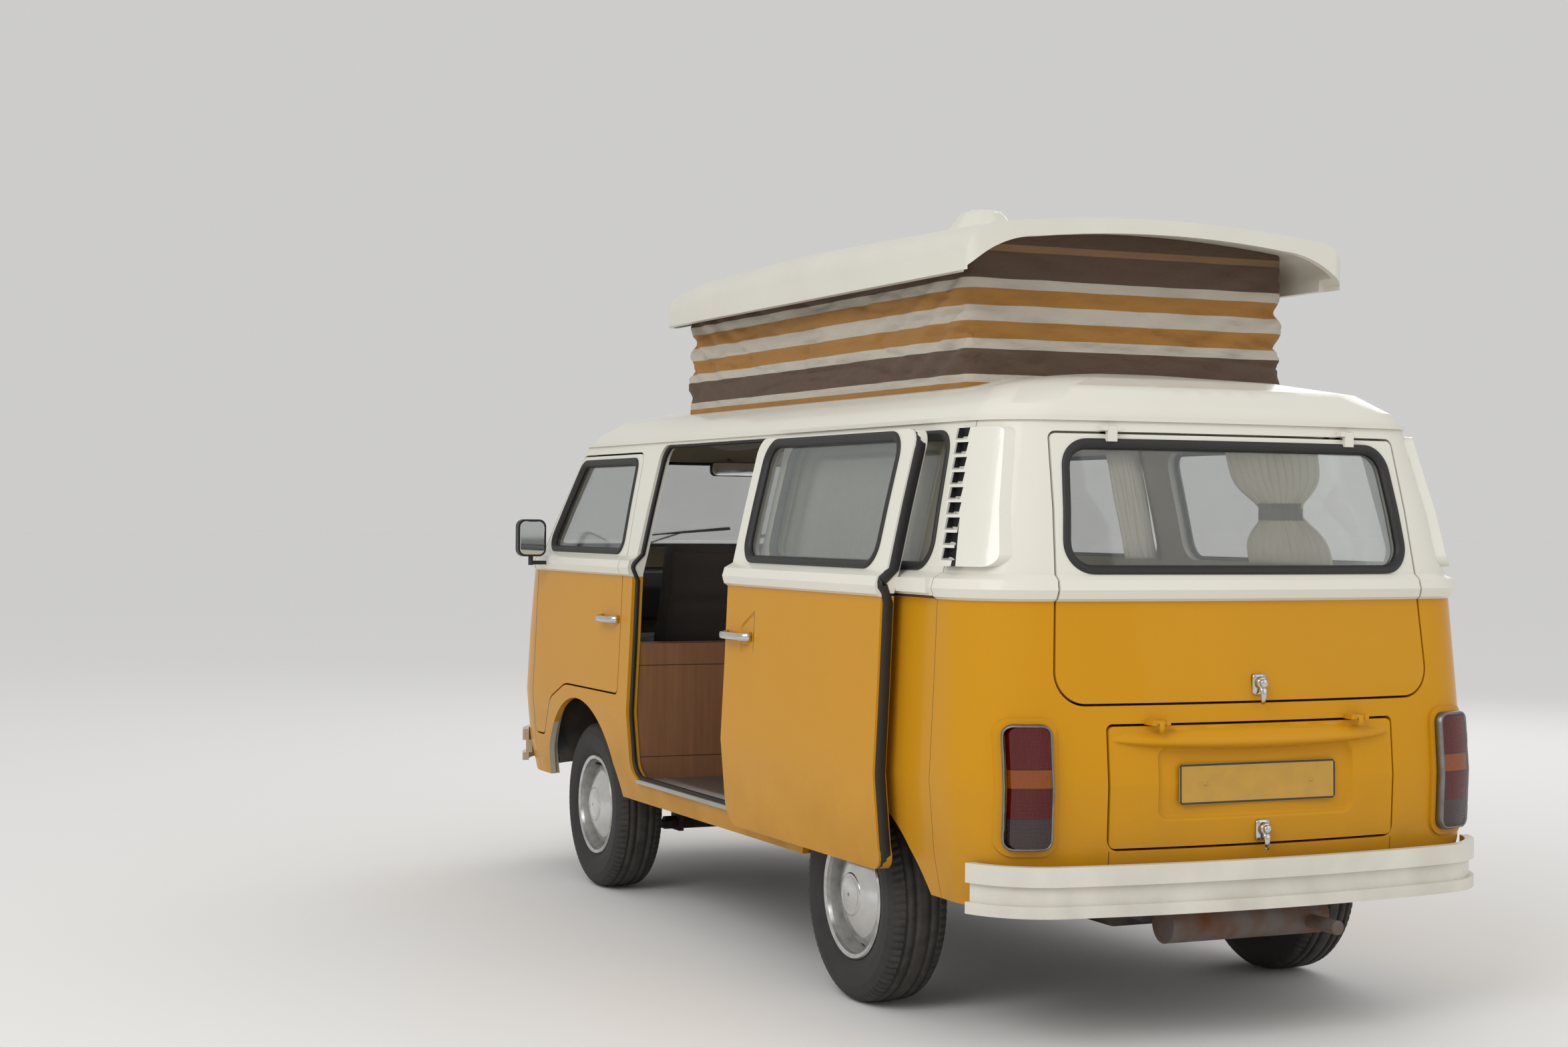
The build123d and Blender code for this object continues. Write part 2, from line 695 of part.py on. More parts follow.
# Floor with its two long rails, open above the wheels and behind the load space
floor_low = 450
floor_top = 478
board_thick = 4
rail_y = 350
rail_low_z = floor_low - 40
bulkhead_x = rear_axle_x + 60
housing_half_length = 410
front_housing_y = 432
front_housing_top = 790
rear_housing_y = 590
rear_housing_top = 700
deck_z = 860
floor_plate = (form(BODY, -wall - seat_gap) & block((bulkhead_x, 3000), (-beyond, beyond), (floor_low, floor_top))) + block(
    (bulkhead_x, front_axle_x + 900), (rail_y - 30, rail_y + 30), (rail_low_z, floor_low)
)
floor_plate += block((bulkhead_x, front_axle_x + 900), (-rail_y - 30, -rail_y + 30), (rail_low_z, floor_low))
for side in (1, -1):
    low, high = sorted((side * front_housing_y, side * beyond))
    floor_plate -= block(
        (front_axle_x - housing_half_length, front_axle_x + housing_half_length), (low, high), (floor_low, floor_top)
    )
    low, high = sorted((side * rear_housing_y, side * beyond))
    floor_plate -= block((rear_axle_x - 500, rear_axle_x + 380), (low, high), (floor_low, floor_top))
jack_x = rear_axle_x + 559
for side in (1, -1):
    low, high = sorted((side * 690, side * 750))
    floor_plate += block((jack_x - 35, jack_x + 35), (low, high), (405, floor_low))
eye_x = front_axle_x + 860
eye_z = 355
with BuildPart() as tow_eye:
    with BuildSketch(Plane.XZ.offset(-rail_y - 7)):
        with Locations((eye_x, eye_z)):
            Circle(36)
        with Locations((eye_x, (eye_z + rail_low_z) / 2)):
            Rectangle(72, rail_low_z - eye_z)
        with Locations((eye_x, eye_z)):
            Circle(18, mode=Mode.SUBTRACT)
    extrude(amount=14)
floor_plate += tow_eye.part
floor_plate += block((bulkhead_x + 650, slide_open_front - 20), (-410, 700), (floor_top, floor_top + board_thick))
save("floor", floor_plate)

# Wheel housings: a top, an inner wall and two end walls over each wheel
sheet = 12
inner_clear = form(BODY, -wall - seat_gap)


def housing(x_low, x_high, y_inner, top, side):
    low, high = sorted((side * y_inner, side * beyond))
    solid = block((x_low, x_high), (low, high), (floor_low, top))
    low, high = sorted((side * (y_inner + sheet), side * beyond))
    hollow = block((x_low + sheet, x_high - sheet), (low, high), (floor_low - 10, top - sheet))
    return (solid - hollow) & inner_clear


with BuildPart() as front_housings:
    for side in (1, -1):
        add(
            housing(
                front_axle_x - housing_half_length,
                front_axle_x + housing_half_length,
                front_housing_y,
                front_housing_top,
                side,
            )
        )
save("front_wheel_housings", front_housings.part)

# Engine deck: bulkhead, raised deck and the rear wheel housings
deck = block((rear_axle_x - 900, bulkhead_x + 24), (-beyond, beyond), (deck_z, deck_z + 24)) & inner_clear
deck += block((bulkhead_x, bulkhead_x + 24), (-rear_housing_y, rear_housing_y), (floor_top, deck_z + 5)) & inner_clear
for side in (1, -1):
    deck += housing(rear_axle_x - 500, rear_axle_x + 380, rear_housing_y, deck_z + 24, side)
save("engine_deck", deck)

# Engine block, gearbox and rear axle
engine_rear = rear_axle_x - 800
silencer_radius = 55
silencer_x = engine_rear - silencer_radius - seat_gap
silencer_z = 335
engine = block((engine_rear, rear_axle_x - 300 - seat_gap), (-290, 290), (silencer_z, 730))
save("engine", engine)
disc_inner = 15
drum_depth = 40
drum_radius = 118
rear_hub_y = rear_track / 2 + disc_inner - seat_gap
front_hub_y = front_track / 2 + disc_inner - seat_gap
with BuildPart() as rear_axle:
    with BuildSketch(Plane.YZ.offset(rear_axle_x - 300)):
        with Locations((0, hub_z + 6)):
            RectangleRounded(260, 200, 60)
    extrude(amount=560)
    with BuildSketch(Plane.XZ.offset(-(rear_hub_y - 30))):
        with Locations((rear_axle_x, hub_z)):
            Circle(22)
    extrude(amount=2 * (rear_hub_y - 30))
    for side in (1, -1):
        with BuildSketch(Plane.XZ.offset(-side * rear_hub_y)):
            with Locations((rear_axle_x, hub_z)):
                Circle(26)
        extrude(amount=side * 90)
        with BuildSketch(Plane.XZ.offset(-side * rear_hub_y)):
            with Locations((rear_axle_x, hub_z)):
                Circle(drum_radius)
        extrude(amount=side * drum_depth)
        with BuildSketch(Plane.XY.offset(hub_z - 25)):
            with BuildLine():
                Polyline(
                    (rear_axle_x - 30, side * 520),
                    (rear_axle_x + 40, side * 560),
                    (rear_axle_x + 480, side * 400),
                    (rear_axle_x + 480, side * 300),
                    close=True,
                )
            make_face()
        extrude(amount=50)
        with BuildSketch(Plane.XY.offset(hub_z + 25)):
            with Locations((rear_axle_x + 440, side * rail_y)):
                Rectangle(60, 50)
        extrude(amount=rail_low_z - hub_z - 25)
save("rear_axle", rear_axle.part)

# Front axle: two cross tubes, trailing arms and the plates that hang them from the rails
king_y = front_track / 2 - 62
beam_x = front_axle_x + 150
lower_arm_z = 205
upper_arm_z = 373
arm_thick = 22
beam_radius = 26
beam_half = 430
with BuildPart() as front_axle:
    for z in (lower_arm_z + arm_thick / 2, upper_arm_z + arm_thick / 2):
        with BuildSketch(Plane.XZ.offset(-beam_half)):
            with Locations((beam_x, z)):
                Circle(beam_radius)
        extrude(amount=2 * beam_half)
    for side in (1, -1):
        for z in (lower_arm_z, upper_arm_z):
            with BuildSketch(Plane.XY.offset(z)):
                with BuildLine():
                    Polyline(
                        (beam_x - beam_radius, side * (beam_half - 36)),
                        (beam_x + beam_radius, side * (beam_half - 36)),
                        (beam_x + beam_radius, side * beam_half),
                        (front_axle_x + 26, side * (king_y + 6)),
                        (front_axle_x + 10, side * (king_y + 22)),
                        (front_axle_x - 22, side * (king_y + 22)),
                        (front_axle_x - 22, side * (king_y - 24)),
                        close=True,
                    )
                make_face()
            extrude(amount=arm_thick)
        with BuildSketch(Plane.XZ.offset(-side * (rail_y + 32))):
            with Locations((beam_x, (lower_arm_z - 20 + rail_low_z) / 2)):
                Rectangle(90, rail_low_z - lower_arm_z + 20)
        extrude(amount=side * 20)
save("front_axle", front_axle.part)

# Knuckles: an upright between the arms, a stub axle and a brake drum
for side, name in ((1, "left"), (-1, "right")):
    with BuildPart() as knuckle:
        with BuildSketch(Plane.XY.offset(lower_arm_z + arm_thick + seat_gap)):
            with Locations((front_axle_x, side * king_y)):
                Circle(19)
        extrude(amount=upper_arm_z - lower_arm_z - arm_thick - 2 * seat_gap)
        with BuildSketch(Plane.XZ.offset(-side * king_y)):
            with Locations((front_axle_x, hub_z)):
                Circle(26)
        extrude(amount=-side * (front_hub_y - king_y))
        with BuildSketch(Plane.XZ.offset(-side * front_hub_y)):
            with Locations((front_axle_x, hub_z)):
                Circle(drum_radius)
        extrude(amount=side * drum_depth)
    save(f"{name}_knuckle", knuckle.part)

# Tyre section: x out from the wheel's middle, radius; and the rim with its slots and hub cap
bead_half = 70
cap_radius = 130
cap_high = 90
SLOTS = 12


def tyre_solid():
    with BuildPart() as tyre:
        shape = [
            (rim_radius, bead_half),
            (rim_radius + 60, tyre_width / 2),
            (tyre_radius - 22, tyre_width / 2 - 8),
            (tyre_radius, tyre_width / 2 - 30),
        ]
        with BuildSketch(Plane.XY):
            with BuildLine():
                Polyline(*shape, *[(r, -y) for r, y in reversed(shape)], close=True)
            make_face()
        revolve(axis=Axis.Y)
    return tyre.part


def rim_solid():
    with BuildPart() as rim:
        with BuildSketch(Plane.XY):
            with BuildLine():
                Polyline(
                    (0, cap_high),
                    (0, disc_inner),
                    (60, disc_inner),
                    (cap_radius + 8, 38),
                    (rim_radius - 12, 16),
                    (rim_radius - 12, -bead_half - 14),
                    (rim_radius + 10, -bead_half - 12),
                    (rim_radius - seat_gap, -bead_half),
                    (rim_radius - seat_gap, bead_half),
                    (rim_radius + 10, bead_half + 9),
                    (rim_radius + 6, bead_half + 14),
                    (rim_radius - 6, bead_half + 10),
                    (rim_radius - 14, 30),
                    (cap_radius + 10, 50),
                    (cap_radius, 56),
                )
                ThreePointArc((cap_radius, 56), (cap_radius / 2, cap_high - dome_fall(cap_radius, cap_high - 56)), (0, cap_high))
            make_face()
        revolve(axis=Axis.Y)
        with BuildSketch(Plane.XZ.offset(-60)):
            with PolarLocations((cap_radius + rim_radius) / 2 - 2, SLOTS):
                SlotOverall(26, 11, rotation=90)
        extrude(amount=60, mode=Mode.SUBTRACT)
    return rim.part


tyre_part = tyre_solid()
rim_part = rim_solid()
for end, x, track in (("front", front_axle_x, front_track), ("rear", rear_axle_x, rear_track)):
    for side, hand in ((1, "left"), (-1, "right")):
        turned = Location((x, side * track / 2, hub_z), (0, 0, 0 if side > 0 else 180))
        save(f"{end}_{hand}_tyre", tyre_part.moved(turned))
        save(f"{end}_{hand}_rim", rim_part.moved(turned))

# Exhaust silencer across the tail, with its tail pipe
with BuildPart() as exhaust:
    with BuildSketch(Plane.XZ.offset(-260)):
        with Locations((silencer_x, silencer_z)):
            Circle(silencer_radius)
    extrude(amount=520)
    with BuildSketch(Plane.YZ.offset(silencer_x)):
        with Locations((-200, silencer_z - 12)):
            Circle(20)
    extrude(amount=-175)
save("exhaust", exhaust.part)

# Dashboard with the steering column on the right
dash_x = front_axle_x + 700
wheel_y = -385
column_lean = 28
column_radius = 26
column_foot = (front_axle_x + 720, wheel_y, floor_top + column_radius * sin(radians(column_lean)) + seat_gap)
column_length = 630
with BuildPart() as dashboard:
    section = [
        (dash_x, 1010, 20),
        (dash_x - 20, 1150, 30),
        (dash_x + 30, 1215, 20),
        (front_axle_x + 1000, 1235, 0),
        (front_axle_x + 1000, 1010, 0),
    ]
    extrude(rounded_face(Plane.XZ.offset(-beyond), section), amount=2 * beyond)
dashboard_part = dashboard.part & inner_clear
column_way = Vector(-sin(radians(column_lean)), 0, cos(radians(column_lean)))
column_plane = Plane(origin=column_foot, x_dir=(0, 1, 0), z_dir=tuple(column_way))
with BuildPart() as column:
    with BuildSketch(column_plane):
        Circle(column_radius)
    extrude(amount=column_length)
save("dashboard", dashboard_part)
save("steering_column", column.part - dashboard_part)

# Steering wheel: rim, two spokes and hub
wheel_plane = column_plane.offset(column_length + seat_gap)
with BuildPart() as steering_wheel:
    with BuildSketch(wheel_plane):
        Circle(36)
    extrude(amount=34)
    with BuildSketch(wheel_plane.offset(14)):
        Rectangle(30, 380)
    extrude(amount=10)
    with BuildSketch(wheel_plane.offset(6)):
        Circle(204)
        Circle(180, mode=Mode.SUBTRACT)
    extrude(amount=24)
save("steering_wheel", steering_wheel.part)

# Two cab seats on boxes over the front wheels
seat_y = 400
seat_half = 245
seat_rear = front_axle_x - 250
seat_foot = 850
with BuildPart() as seats:
    for y in (seat_y, -seat_y):
        section = [
            (seat_rear - 60, 900, 20),
            (seat_rear - 190, 1330, 40),
            (seat_rear - 90, 1345, 40),
            (seat_rear + 40, 960, 30),
            (seat_rear + 470, 985, 40),
            (seat_rear + 480, seat_foot + 20, 30),
            (seat_rear - 40, seat_foot, 20),
        ]
        extrude(rounded_face(Plane.XZ.offset(-y - seat_half), section), amount=2 * seat_half)
save("front_seats", seats.part)
with BuildPart() as seat_boxes:
    for y in (seat_y, -seat_y):
        add(block((seat_rear - 40, seat_rear + 420), (y - 200, y + 200), (front_housing_top, seat_foot)))
save("seat_boxes", seat_boxes.part - seats.part)

# Rear bench with its backrest, and the mattress over the engine deck
bench_half = 585
bench_rear = bulkhead_x + 24 + seat_gap
bench_front = bench_rear + 560
with BuildPart() as bench:
    add(block((bench_rear, bench_front), (-380, bench_half), (floor_top, 760)))
save("bench_base", bench.part)
with BuildPart() as cushions:
    add(block((bench_rear, bench_front + 10), (-380, bench_half), (760, 870)))
    add(block((bench_rear, bench_rear + 100), (-380, bench_half), (870, 1290)))
save("bench_cushions", cushions.part)
mattress = block((rear_axle_x - 820, bulkhead_x), (-640, 640), (deck_z + 24, deck_z + 110))
save("rear_mattress", mattress)

# Camper cabinets: one run along the right side, one behind the left cab seat
cabinets = block((slide_open_rear + 29, cab_door_rear - 237), (-beyond, -430), (floor_top, 1240)) & inner_clear
cabinets += block((slide_open_front + 6, slide_open_front + 150), (330, beyond), (floor_top, 980)) & inner_clear
save("cabinets", cabinets)

# Curtains, close behind the glass
curtain_skin = 12


def curtain(x_range, side, y_shift=0):
    """A thin hanging sheet against the wall's inner face over a stretch of its length."""
    levels = (window_high + 16, 1482, belt_high + 2)
    face = [(side * (half_at(z) - wall - 2 * seat_gap), z) for z in levels]
    back = [(y - side * curtain_skin, z) for y, z in reversed(face)]
    with BuildPart() as sheet:
        with BuildSketch(Plane.YZ.offset(x_range[0])):
            with BuildLine():
                Polyline(*face, *back, close=True)
            make_face()
        extrude(amount=x_range[1] - x_range[0])
    return sheet.part.moved(Location((0, y_shift, 0)))


quarter_range = (rear_axle_x - 540, slide_open_rear - 50)
mid_range = (slide_open_rear + 75, slide_open_front - 71)
with BuildPart() as curtains:
    add(curtain(quarter_range, 1))
    add(curtain(quarter_range, -1))
    add(curtain(mid_range, -1))
    add(curtain([x - slide_back for x in mid_range], 1, slide_out))
save("curtains", curtains.part)
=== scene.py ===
from functools import partialmethod
from math import ceil, cos, hypot, pi, radians, sin, tan, tau

import bmesh
import bpy
from mathutils import Matrix, Vector, noise
from mathutils.bvhtree import BVHTree


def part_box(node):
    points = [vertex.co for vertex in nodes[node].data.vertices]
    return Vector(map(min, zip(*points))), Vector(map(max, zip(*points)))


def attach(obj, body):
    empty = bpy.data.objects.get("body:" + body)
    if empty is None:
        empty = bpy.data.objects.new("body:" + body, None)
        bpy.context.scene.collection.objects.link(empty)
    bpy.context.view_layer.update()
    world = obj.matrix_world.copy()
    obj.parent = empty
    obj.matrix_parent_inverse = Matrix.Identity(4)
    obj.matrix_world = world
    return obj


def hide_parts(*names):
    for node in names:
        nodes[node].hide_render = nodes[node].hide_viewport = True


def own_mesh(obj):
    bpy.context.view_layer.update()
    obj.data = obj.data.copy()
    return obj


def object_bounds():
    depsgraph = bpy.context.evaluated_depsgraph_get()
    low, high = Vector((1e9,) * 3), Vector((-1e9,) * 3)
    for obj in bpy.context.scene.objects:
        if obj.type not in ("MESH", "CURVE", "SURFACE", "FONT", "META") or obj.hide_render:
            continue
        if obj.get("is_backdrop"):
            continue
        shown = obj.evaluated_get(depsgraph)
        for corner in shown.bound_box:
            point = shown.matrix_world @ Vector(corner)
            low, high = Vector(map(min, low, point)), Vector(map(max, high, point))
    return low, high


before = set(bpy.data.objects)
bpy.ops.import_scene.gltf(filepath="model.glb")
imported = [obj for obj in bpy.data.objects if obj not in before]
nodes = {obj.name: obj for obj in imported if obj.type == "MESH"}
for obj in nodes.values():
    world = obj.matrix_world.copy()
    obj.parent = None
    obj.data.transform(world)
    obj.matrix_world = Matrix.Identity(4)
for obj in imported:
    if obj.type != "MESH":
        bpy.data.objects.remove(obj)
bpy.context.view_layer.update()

# Painted steel body: nose, tail and side panels, doors and lids. They are pressed sheets, welded
# or hinged together, sprayed white above the belt and deep yellow below it, under a clear gloss.
# Road dust settles near the sills, and the gloss has the slight ripple of sprayed enamel.
rear_x, front_x = (sum(end.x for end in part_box(rim)) / 2 for rim in ("rear_left_rim", "front_left_rim"))
slide_rear = rear_x + 0.691
YELLOW, WHITE = (0.59, 0.272, 0.007), (0.74, 0.72, 0.64)
DUST, LINING = (0.16, 0.11, 0.06), (0.50, 0.44, 0.33)
# the tail seam's dark joint and the painted shade in the rail's slot share the darker colour
SEAM_DARK, SEAM_DARK_AND_SLOT_SHADE = (0.02, 0.017, 0.012), (0.012, 0.011, 0.010)
PAINT_SPLIT, DUST_TOP, DUST_REACH = 1.2295, 0.78, 0.40
SEAM_HALF, PANEL_SEAMS = 0.0014, (rear_x - 0.600, front_x + 0.553)
TAIL_SEAM_X, TAIL_SEAM_Y, TAIL_SEAM_TOP = rear_x - 0.80, 0.470, 0.552
RAIL_SLOT_Z, RAIL_SLOT_HALF, RAIL_SLOT_IN, RAIL_SLOT_OUT = 1.2345, 0.0042, 0.7, 0.885
DISH_REAR, DISH_FRONT, DISH_LOW, DISH_HIGH = rear_x + 0.500, rear_x + 0.608, 1.015, 1.158
DISH_DEPTH, RIPPLE_DEPTH = 0.009, 0.0002


class Wire:
    """One socket of a material. Arithmetic on it adds Math nodes."""

    def __init__(self, finish, socket):
        self.finish, self.socket = finish, socket

    def maths(self, operation, other=0, clamp=False):
        settings = {"operation": operation, "use_clamp": clamp}
        return self.finish.node("Math", settings, {0: self, 1: other})

    def __rsub__(self, other):
        return self * -1 + other

    __add__ = __radd__ = partialmethod(maths, "ADD")
    __sub__ = partialmethod(maths, "SUBTRACT")
    __mul__ = __rmul__ = partialmethod(maths, "MULTIPLY")
    __truediv__ = partialmethod(maths, "DIVIDE")
    __pow__ = partialmethod(maths, "POWER")
    __gt__ = partialmethod(maths, "GREATER_THAN")
    __lt__ = partialmethod(maths, "LESS_THAN")
    wave = partialmethod(maths, "SINE")
    size = partialmethod(maths, "ABSOLUTE")
    clamped = partialmethod(maths, "ADD", clamp=True)


class Finish:
    """A material. node() adds any node, and surface() fills the shader's own sockets."""

    def __init__(self, name):
        self.material = bpy.data.materials.new(name)
        self.material.use_nodes = True
        self.tree = self.material.node_tree
        self.shader = self.tree.nodes["Principled BSDF"]
        self.place = self.node("TexCoord", output="Object")
        self.x, self.y, self.z = self.parts(self.place)

    def plug(self, socket, value):
        if isinstance(value, Wire):
            self.tree.links.new(value.socket, socket)
        else:
            socket.default_value = (*value, 1) if socket.type == "RGBA" else value

    def node(self, kind, settings=None, inputs=None, output=0):
        made = self.tree.nodes.new(f"ShaderNode{kind}")
        for name, value in (settings or {}).items():
            setattr(made, name, value)
        for name, value in (inputs or {}).items():
            self.plug(made.inputs[name], value)
        return made if output is None else Wire(self, made.outputs[output])

    def parts(self, vector):
        split = self.node("SeparateXYZ", inputs={"Vector": vector}, output=None)
        return [Wire(self, socket) for socket in split.outputs]

    def noise(self, scale, detail=3, stretch=None):
        place = self.place
        if stretch:
            place = self.node("VectorMath", {"operation": "MULTIPLY"}, {0: place, 1: stretch})
        return self.node("TexNoise", None, {"Vector": place, "Scale": scale, "Detail": detail})

    def mix(self, share, first, second):
        return self.node("Mix", {"data_type": "RGBA"}, {0: share, 6: first, 7: second}, output=2)

    def surface(self, bump=None, depth=0.001, **sockets):
        for name, value in sockets.items():
            self.plug(self.shader.inputs[name.replace("_", " ")], value)
        if bump:
            normal = self.node("Bump", None, {"Height": bump, "Distance": depth})
            self.plug(self.shader.inputs["Normal"], normal)
        return self.material


def painted_marks(finish, colour):
    """The seams between welded panels and the slot of the sliding door's rail, which are drawn only; the slot
    is a line of painted shade.
    """
    for seam_x in PANEL_SEAMS:
        colour = finish.mix(((finish.x - seam_x).size() < SEAM_HALF) * 0.8, colour, SEAM_DARK)
    tail_seam = ((finish.y.size() - TAIL_SEAM_Y).size() < SEAM_HALF) * (finish.z < TAIL_SEAM_TOP)
    tail_seam = tail_seam * (finish.x < TAIL_SEAM_X)
    # the rail's slot: a thin line of painted shade under the white rail cover
    rail_slot_shade = ((finish.z - RAIL_SLOT_Z).size() < RAIL_SLOT_HALF) * (finish.y > RAIL_SLOT_IN)
    rail_slot_shade = rail_slot_shade * (finish.y < RAIL_SLOT_OUT)
    rail_slot_shade = rail_slot_shade * (finish.x > PANEL_SEAMS[0]) * (finish.x < slide_rear)
    return finish.mix((tail_seam * 0.8 + rail_slot_shade).clamped(), colour, SEAM_DARK_AND_SLOT_SHADE)


def enamel(name, low_colour):
    """Gloss enamel, white above the belt, dusty near the sills, with a dull lining on inward faces."""
    finish = Finish(name)
    patch = finish.noise(5, 5)
    dust = (((DUST_TOP - finish.z) / DUST_REACH).clamped() * (patch * 1.5 - 0.35)).clamped()
    colour = finish.mix(finish.z > PAINT_SPLIT, low_colour, WHITE)
    if low_colour != WHITE:
        colour = painted_marks(finish, colour)
    shade = finish.mix(0.10 * finish.noise(1.7, 2), colour, DUST)
    across, over, _ = finish.parts(finish.node("TexCoord", output="Normal"))
    # the side faces turn to the middle line, and the nose and tail faces to the middle of the length
    outmost = 0.08 - (finish.x.size() > 1.95) * 0.2
    inward = (over * finish.y + across * finish.x * 0.02) < -0.02
    inward = inward * (across * finish.x < outmost)
    # the finger dish pressed behind the sliding door's handle: steep at its tail end, slanted on top
    dish = ((finish.x - DISH_REAR) / 0.006).clamped() * ((DISH_FRONT - finish.x) / 0.018).clamped()
    dish = dish * ((DISH_HIGH - (finish.x - DISH_REAR) * 0.50 - finish.z) / 0.012).clamped()
    dish = dish * ((finish.z - DISH_LOW) / 0.030).clamped() * (finish.y > 0.9)
    return finish.surface(
        Base_Color=finish.mix(inward, finish.mix(dust * 0.45, shade, DUST), LINING),
        Roughness=0.20 + dust * 0.4 + patch * 0.08 + inward * 0.35,
        Specular_IOR_Level=0.08,
        Coat_Weight=(0.25 - dust * 0.2 - inward).clamped(),
        Coat_Roughness=0.06,
        Coat_IOR=1.33,
        bump=finish.noise(190, 2) * RIPPLE_DEPTH - dish * DISH_DEPTH,
        depth=1.0,
    )


# a CAD piece is shaded smooth between its sharp edges, with no change to its shape
SHARP_ANGLE, WELD = radians(28), 0.00002
soft_shading = bpy.data.node_groups.new("soft_shading", "GeometryNodeTree")
for way in ("INPUT", "OUTPUT"):
    soft_shading.interface.new_socket("Geometry", in_out=way, socket_type="NodeSocketGeometry")
KINDS = ["NodeGroupInput", "NodeGroupOutput", "GeometryNodeMergeByDistance"]
KINDS += ["GeometryNodeInputMeshEdgeAngle", "FunctionNodeCompare"] + 2 * ["GeometryNodeSetShadeSmooth"]
enter, leave, weld, bend, sharp, smooth_faces, sharp_edges = (soft_shading.nodes.new(kind) for kind in KINDS)
weld.inputs["Distance"].default_value = WELD
sharp.operation = "GREATER_THAN"
sharp.inputs["B"].default_value = SHARP_ANGLE
sharp_edges.domain = "EDGE"
sharp_edges.inputs["Shade Smooth"].default_value = False
for source, target in (
    (enter.outputs[0], weld.inputs["Geometry"]),
    (weld.outputs[0], smooth_faces.inputs["Geometry"]),
    (smooth_faces.outputs[0], sharp_edges.inputs["Geometry"]),
    (bend.outputs[0], sharp.inputs["A"]),
    (sharp.outputs[0], sharp_edges.inputs["Selection"]),
    (sharp_edges.outputs[0], leave.inputs[0]),
):
    soft_shading.links.new(source, target)


def dress(material, *names):
    """Gives CAD pieces a finish and smooth shading."""
    for name in names:
        nodes[name].data.materials.clear()
        nodes[name].data.materials.append(material)
        nodes[name].modifiers.new("soft_shading", "NODES").node_group = soft_shading


body_enamel = enamel("body_enamel", YELLOW)
dress(body_enamel, "front_panel", "rear_panel", "left_side", "right_side", "sliding_door")
dress(body_enamel, "left_cab_door", "right_cab_door", "tailgate", "engine_lid", "fresh_air_grille")

# Roof panel and bumpers: the roof is one pressed sheet welded at the gutters, and the bumpers are
# pressed steel bars bolted to the frame. All are sprayed in plain white enamel.
white_enamel = enamel("white_enamel", WHITE)
dress(white_enamel, "roof", "front_bumper", "rear_bumper")

# Air intakes: a pressed scoop welded to each rear corner, with a ladder of nine open slots along
# its front edge. The slots lean with the corner, and their floors and walls are painted dark as the shade of
# the duct behind them.
DUCT_SHADE = (0.008, 0.008, 0.008)
SLOT_HALF, SLOT_OUT = 0.0355, 0.0165
scoop = Finish("intake_enamel")
skin_line = 0.824 - (scoop.z - 1.306) * 0.238
slot_middle = (scoop.z - 1.355) * 0.21 + (rear_x - 0.649)
shaded_slot = (scoop.y.size() < skin_line + SLOT_OUT) * ((scoop.x - slot_middle).size() < SLOT_HALF)
scoop_patch = scoop.noise(5, 5)
scoop_enamel = scoop.surface(
    # the slots' floors and walls are painted near black, as shade inside the duct
    Base_Color=scoop.mix(shaded_slot, scoop.mix(scoop_patch * 0.1, WHITE, DUST), DUCT_SHADE),
    Roughness=0.22 + scoop_patch * 0.08 + shaded_slot * 0.5,
    Coat_Weight=(0.6 - shaded_slot).clamped(),
    Coat_Roughness=0.06,
)
dress(scoop_enamel, "air_intakes")

# Window rubbers: black moulded rubber pressed over the edge of each opening, which holds the
# glass. Each is one closed strip, fitted round the pane's own edge and onto the painted skin.
AHEAD, LEFT, UP = (Vector(row) for row in Matrix.Identity(3))
RUBBER_PROFILE = [(-0.015, -0.002), (-0.013, 0.006), (-0.003, 0.017)]
RUBBER_PROFILE += [(0.007, 0.0185), (0.013, 0.015), (0.0135, 0.008)]
RUBBER_STEP = 0.012
PANES = [
    ("windscreen", "van", AHEAD),
    ("side_windows", "van", LEFT),
    ("sliding_door_glass", "van", LEFT),
    ("left_door_glass", "left_cab_door", LEFT),
    ("right_door_glass", "right_cab_door", LEFT),
    ("tailgate_glass", "tailgate", AHEAD),
]


def worn(name, grain, clean, soiled=None, share=1, start=0, rough=0.4, rougher=0, depth=0, fine=None, **more):
    """A finish in one colour, soiled, roughened and raised by a noise. fine is a second noise in its bump."""
    finish = Finish(name)
    patch = finish.noise(*grain)
    soil = (patch - start).clamped() * share if start else patch * share
    height = patch + finish.noise(*fine) * 0.3 if fine else patch
    return finish.surface(
        Base_Color=finish.mix(soil, clean, soiled) if soiled else clean,
        Roughness=rough + patch * rougher if rougher else rough,
        bump=height if depth else None,
        depth=depth,
        **more,
    )


def pane_loops(node, outward):
    """The outer edge of each pane of a CAD node: loops of (place, way out of the body)."""
    mesh = bmesh.new()
    mesh.from_mesh(nodes[node].data)
    bmesh.ops.remove_doubles(mesh, verts=mesh.verts, dist=WELD)
    chosen = {
        face
        for face in mesh.faces
        if face.normal.dot(outward) * (1 if face.calc_center_median().dot(outward) > 0 else -1) > 0.05
    }
    follow = {}
    for edge in mesh.edges:
        if sum(face in chosen for face in edge.link_faces) == 1:
            for here, there in (edge.verts, reversed(edge.verts)):
                follow.setdefault(here, []).append(there)
    loops = []
    while follow:
        here = next(iter(follow))
        before, loop = None, []
        while here in follow:
            ways = follow.pop(here)
            normal = sum((face.normal for face in here.link_faces if face in chosen), Vector())
            loop.append((here.co.copy(), normal.normalized()))
            onward = [there for there in ways if there is not before and there in follow]
            before, here = here, (onward or [None])[0]
        loops.append(loop)
    mesh.free()
    return loops


def even_loop(loop, step, rounds=2):
    """A closed loop again at even steps, with its corners eased."""
    even = []
    for (start, start_way), (end, end_way) in zip(loop, loop[1:] + loop[:1]):
        count = max(1, round((end - start).length / step))
        even += [(start.lerp(end, i / count), start_way.lerp(end_way, i / count)) for i in range(count)]
    for _ in range(rounds):
        places = [place for place, _ in even]
        even = [
            ((places[i - 1] + 2 * place + places[(i + 1) % len(places)]) / 4, way.normalized())
            for i, (place, way) in enumerate(even)
        ]
    return even


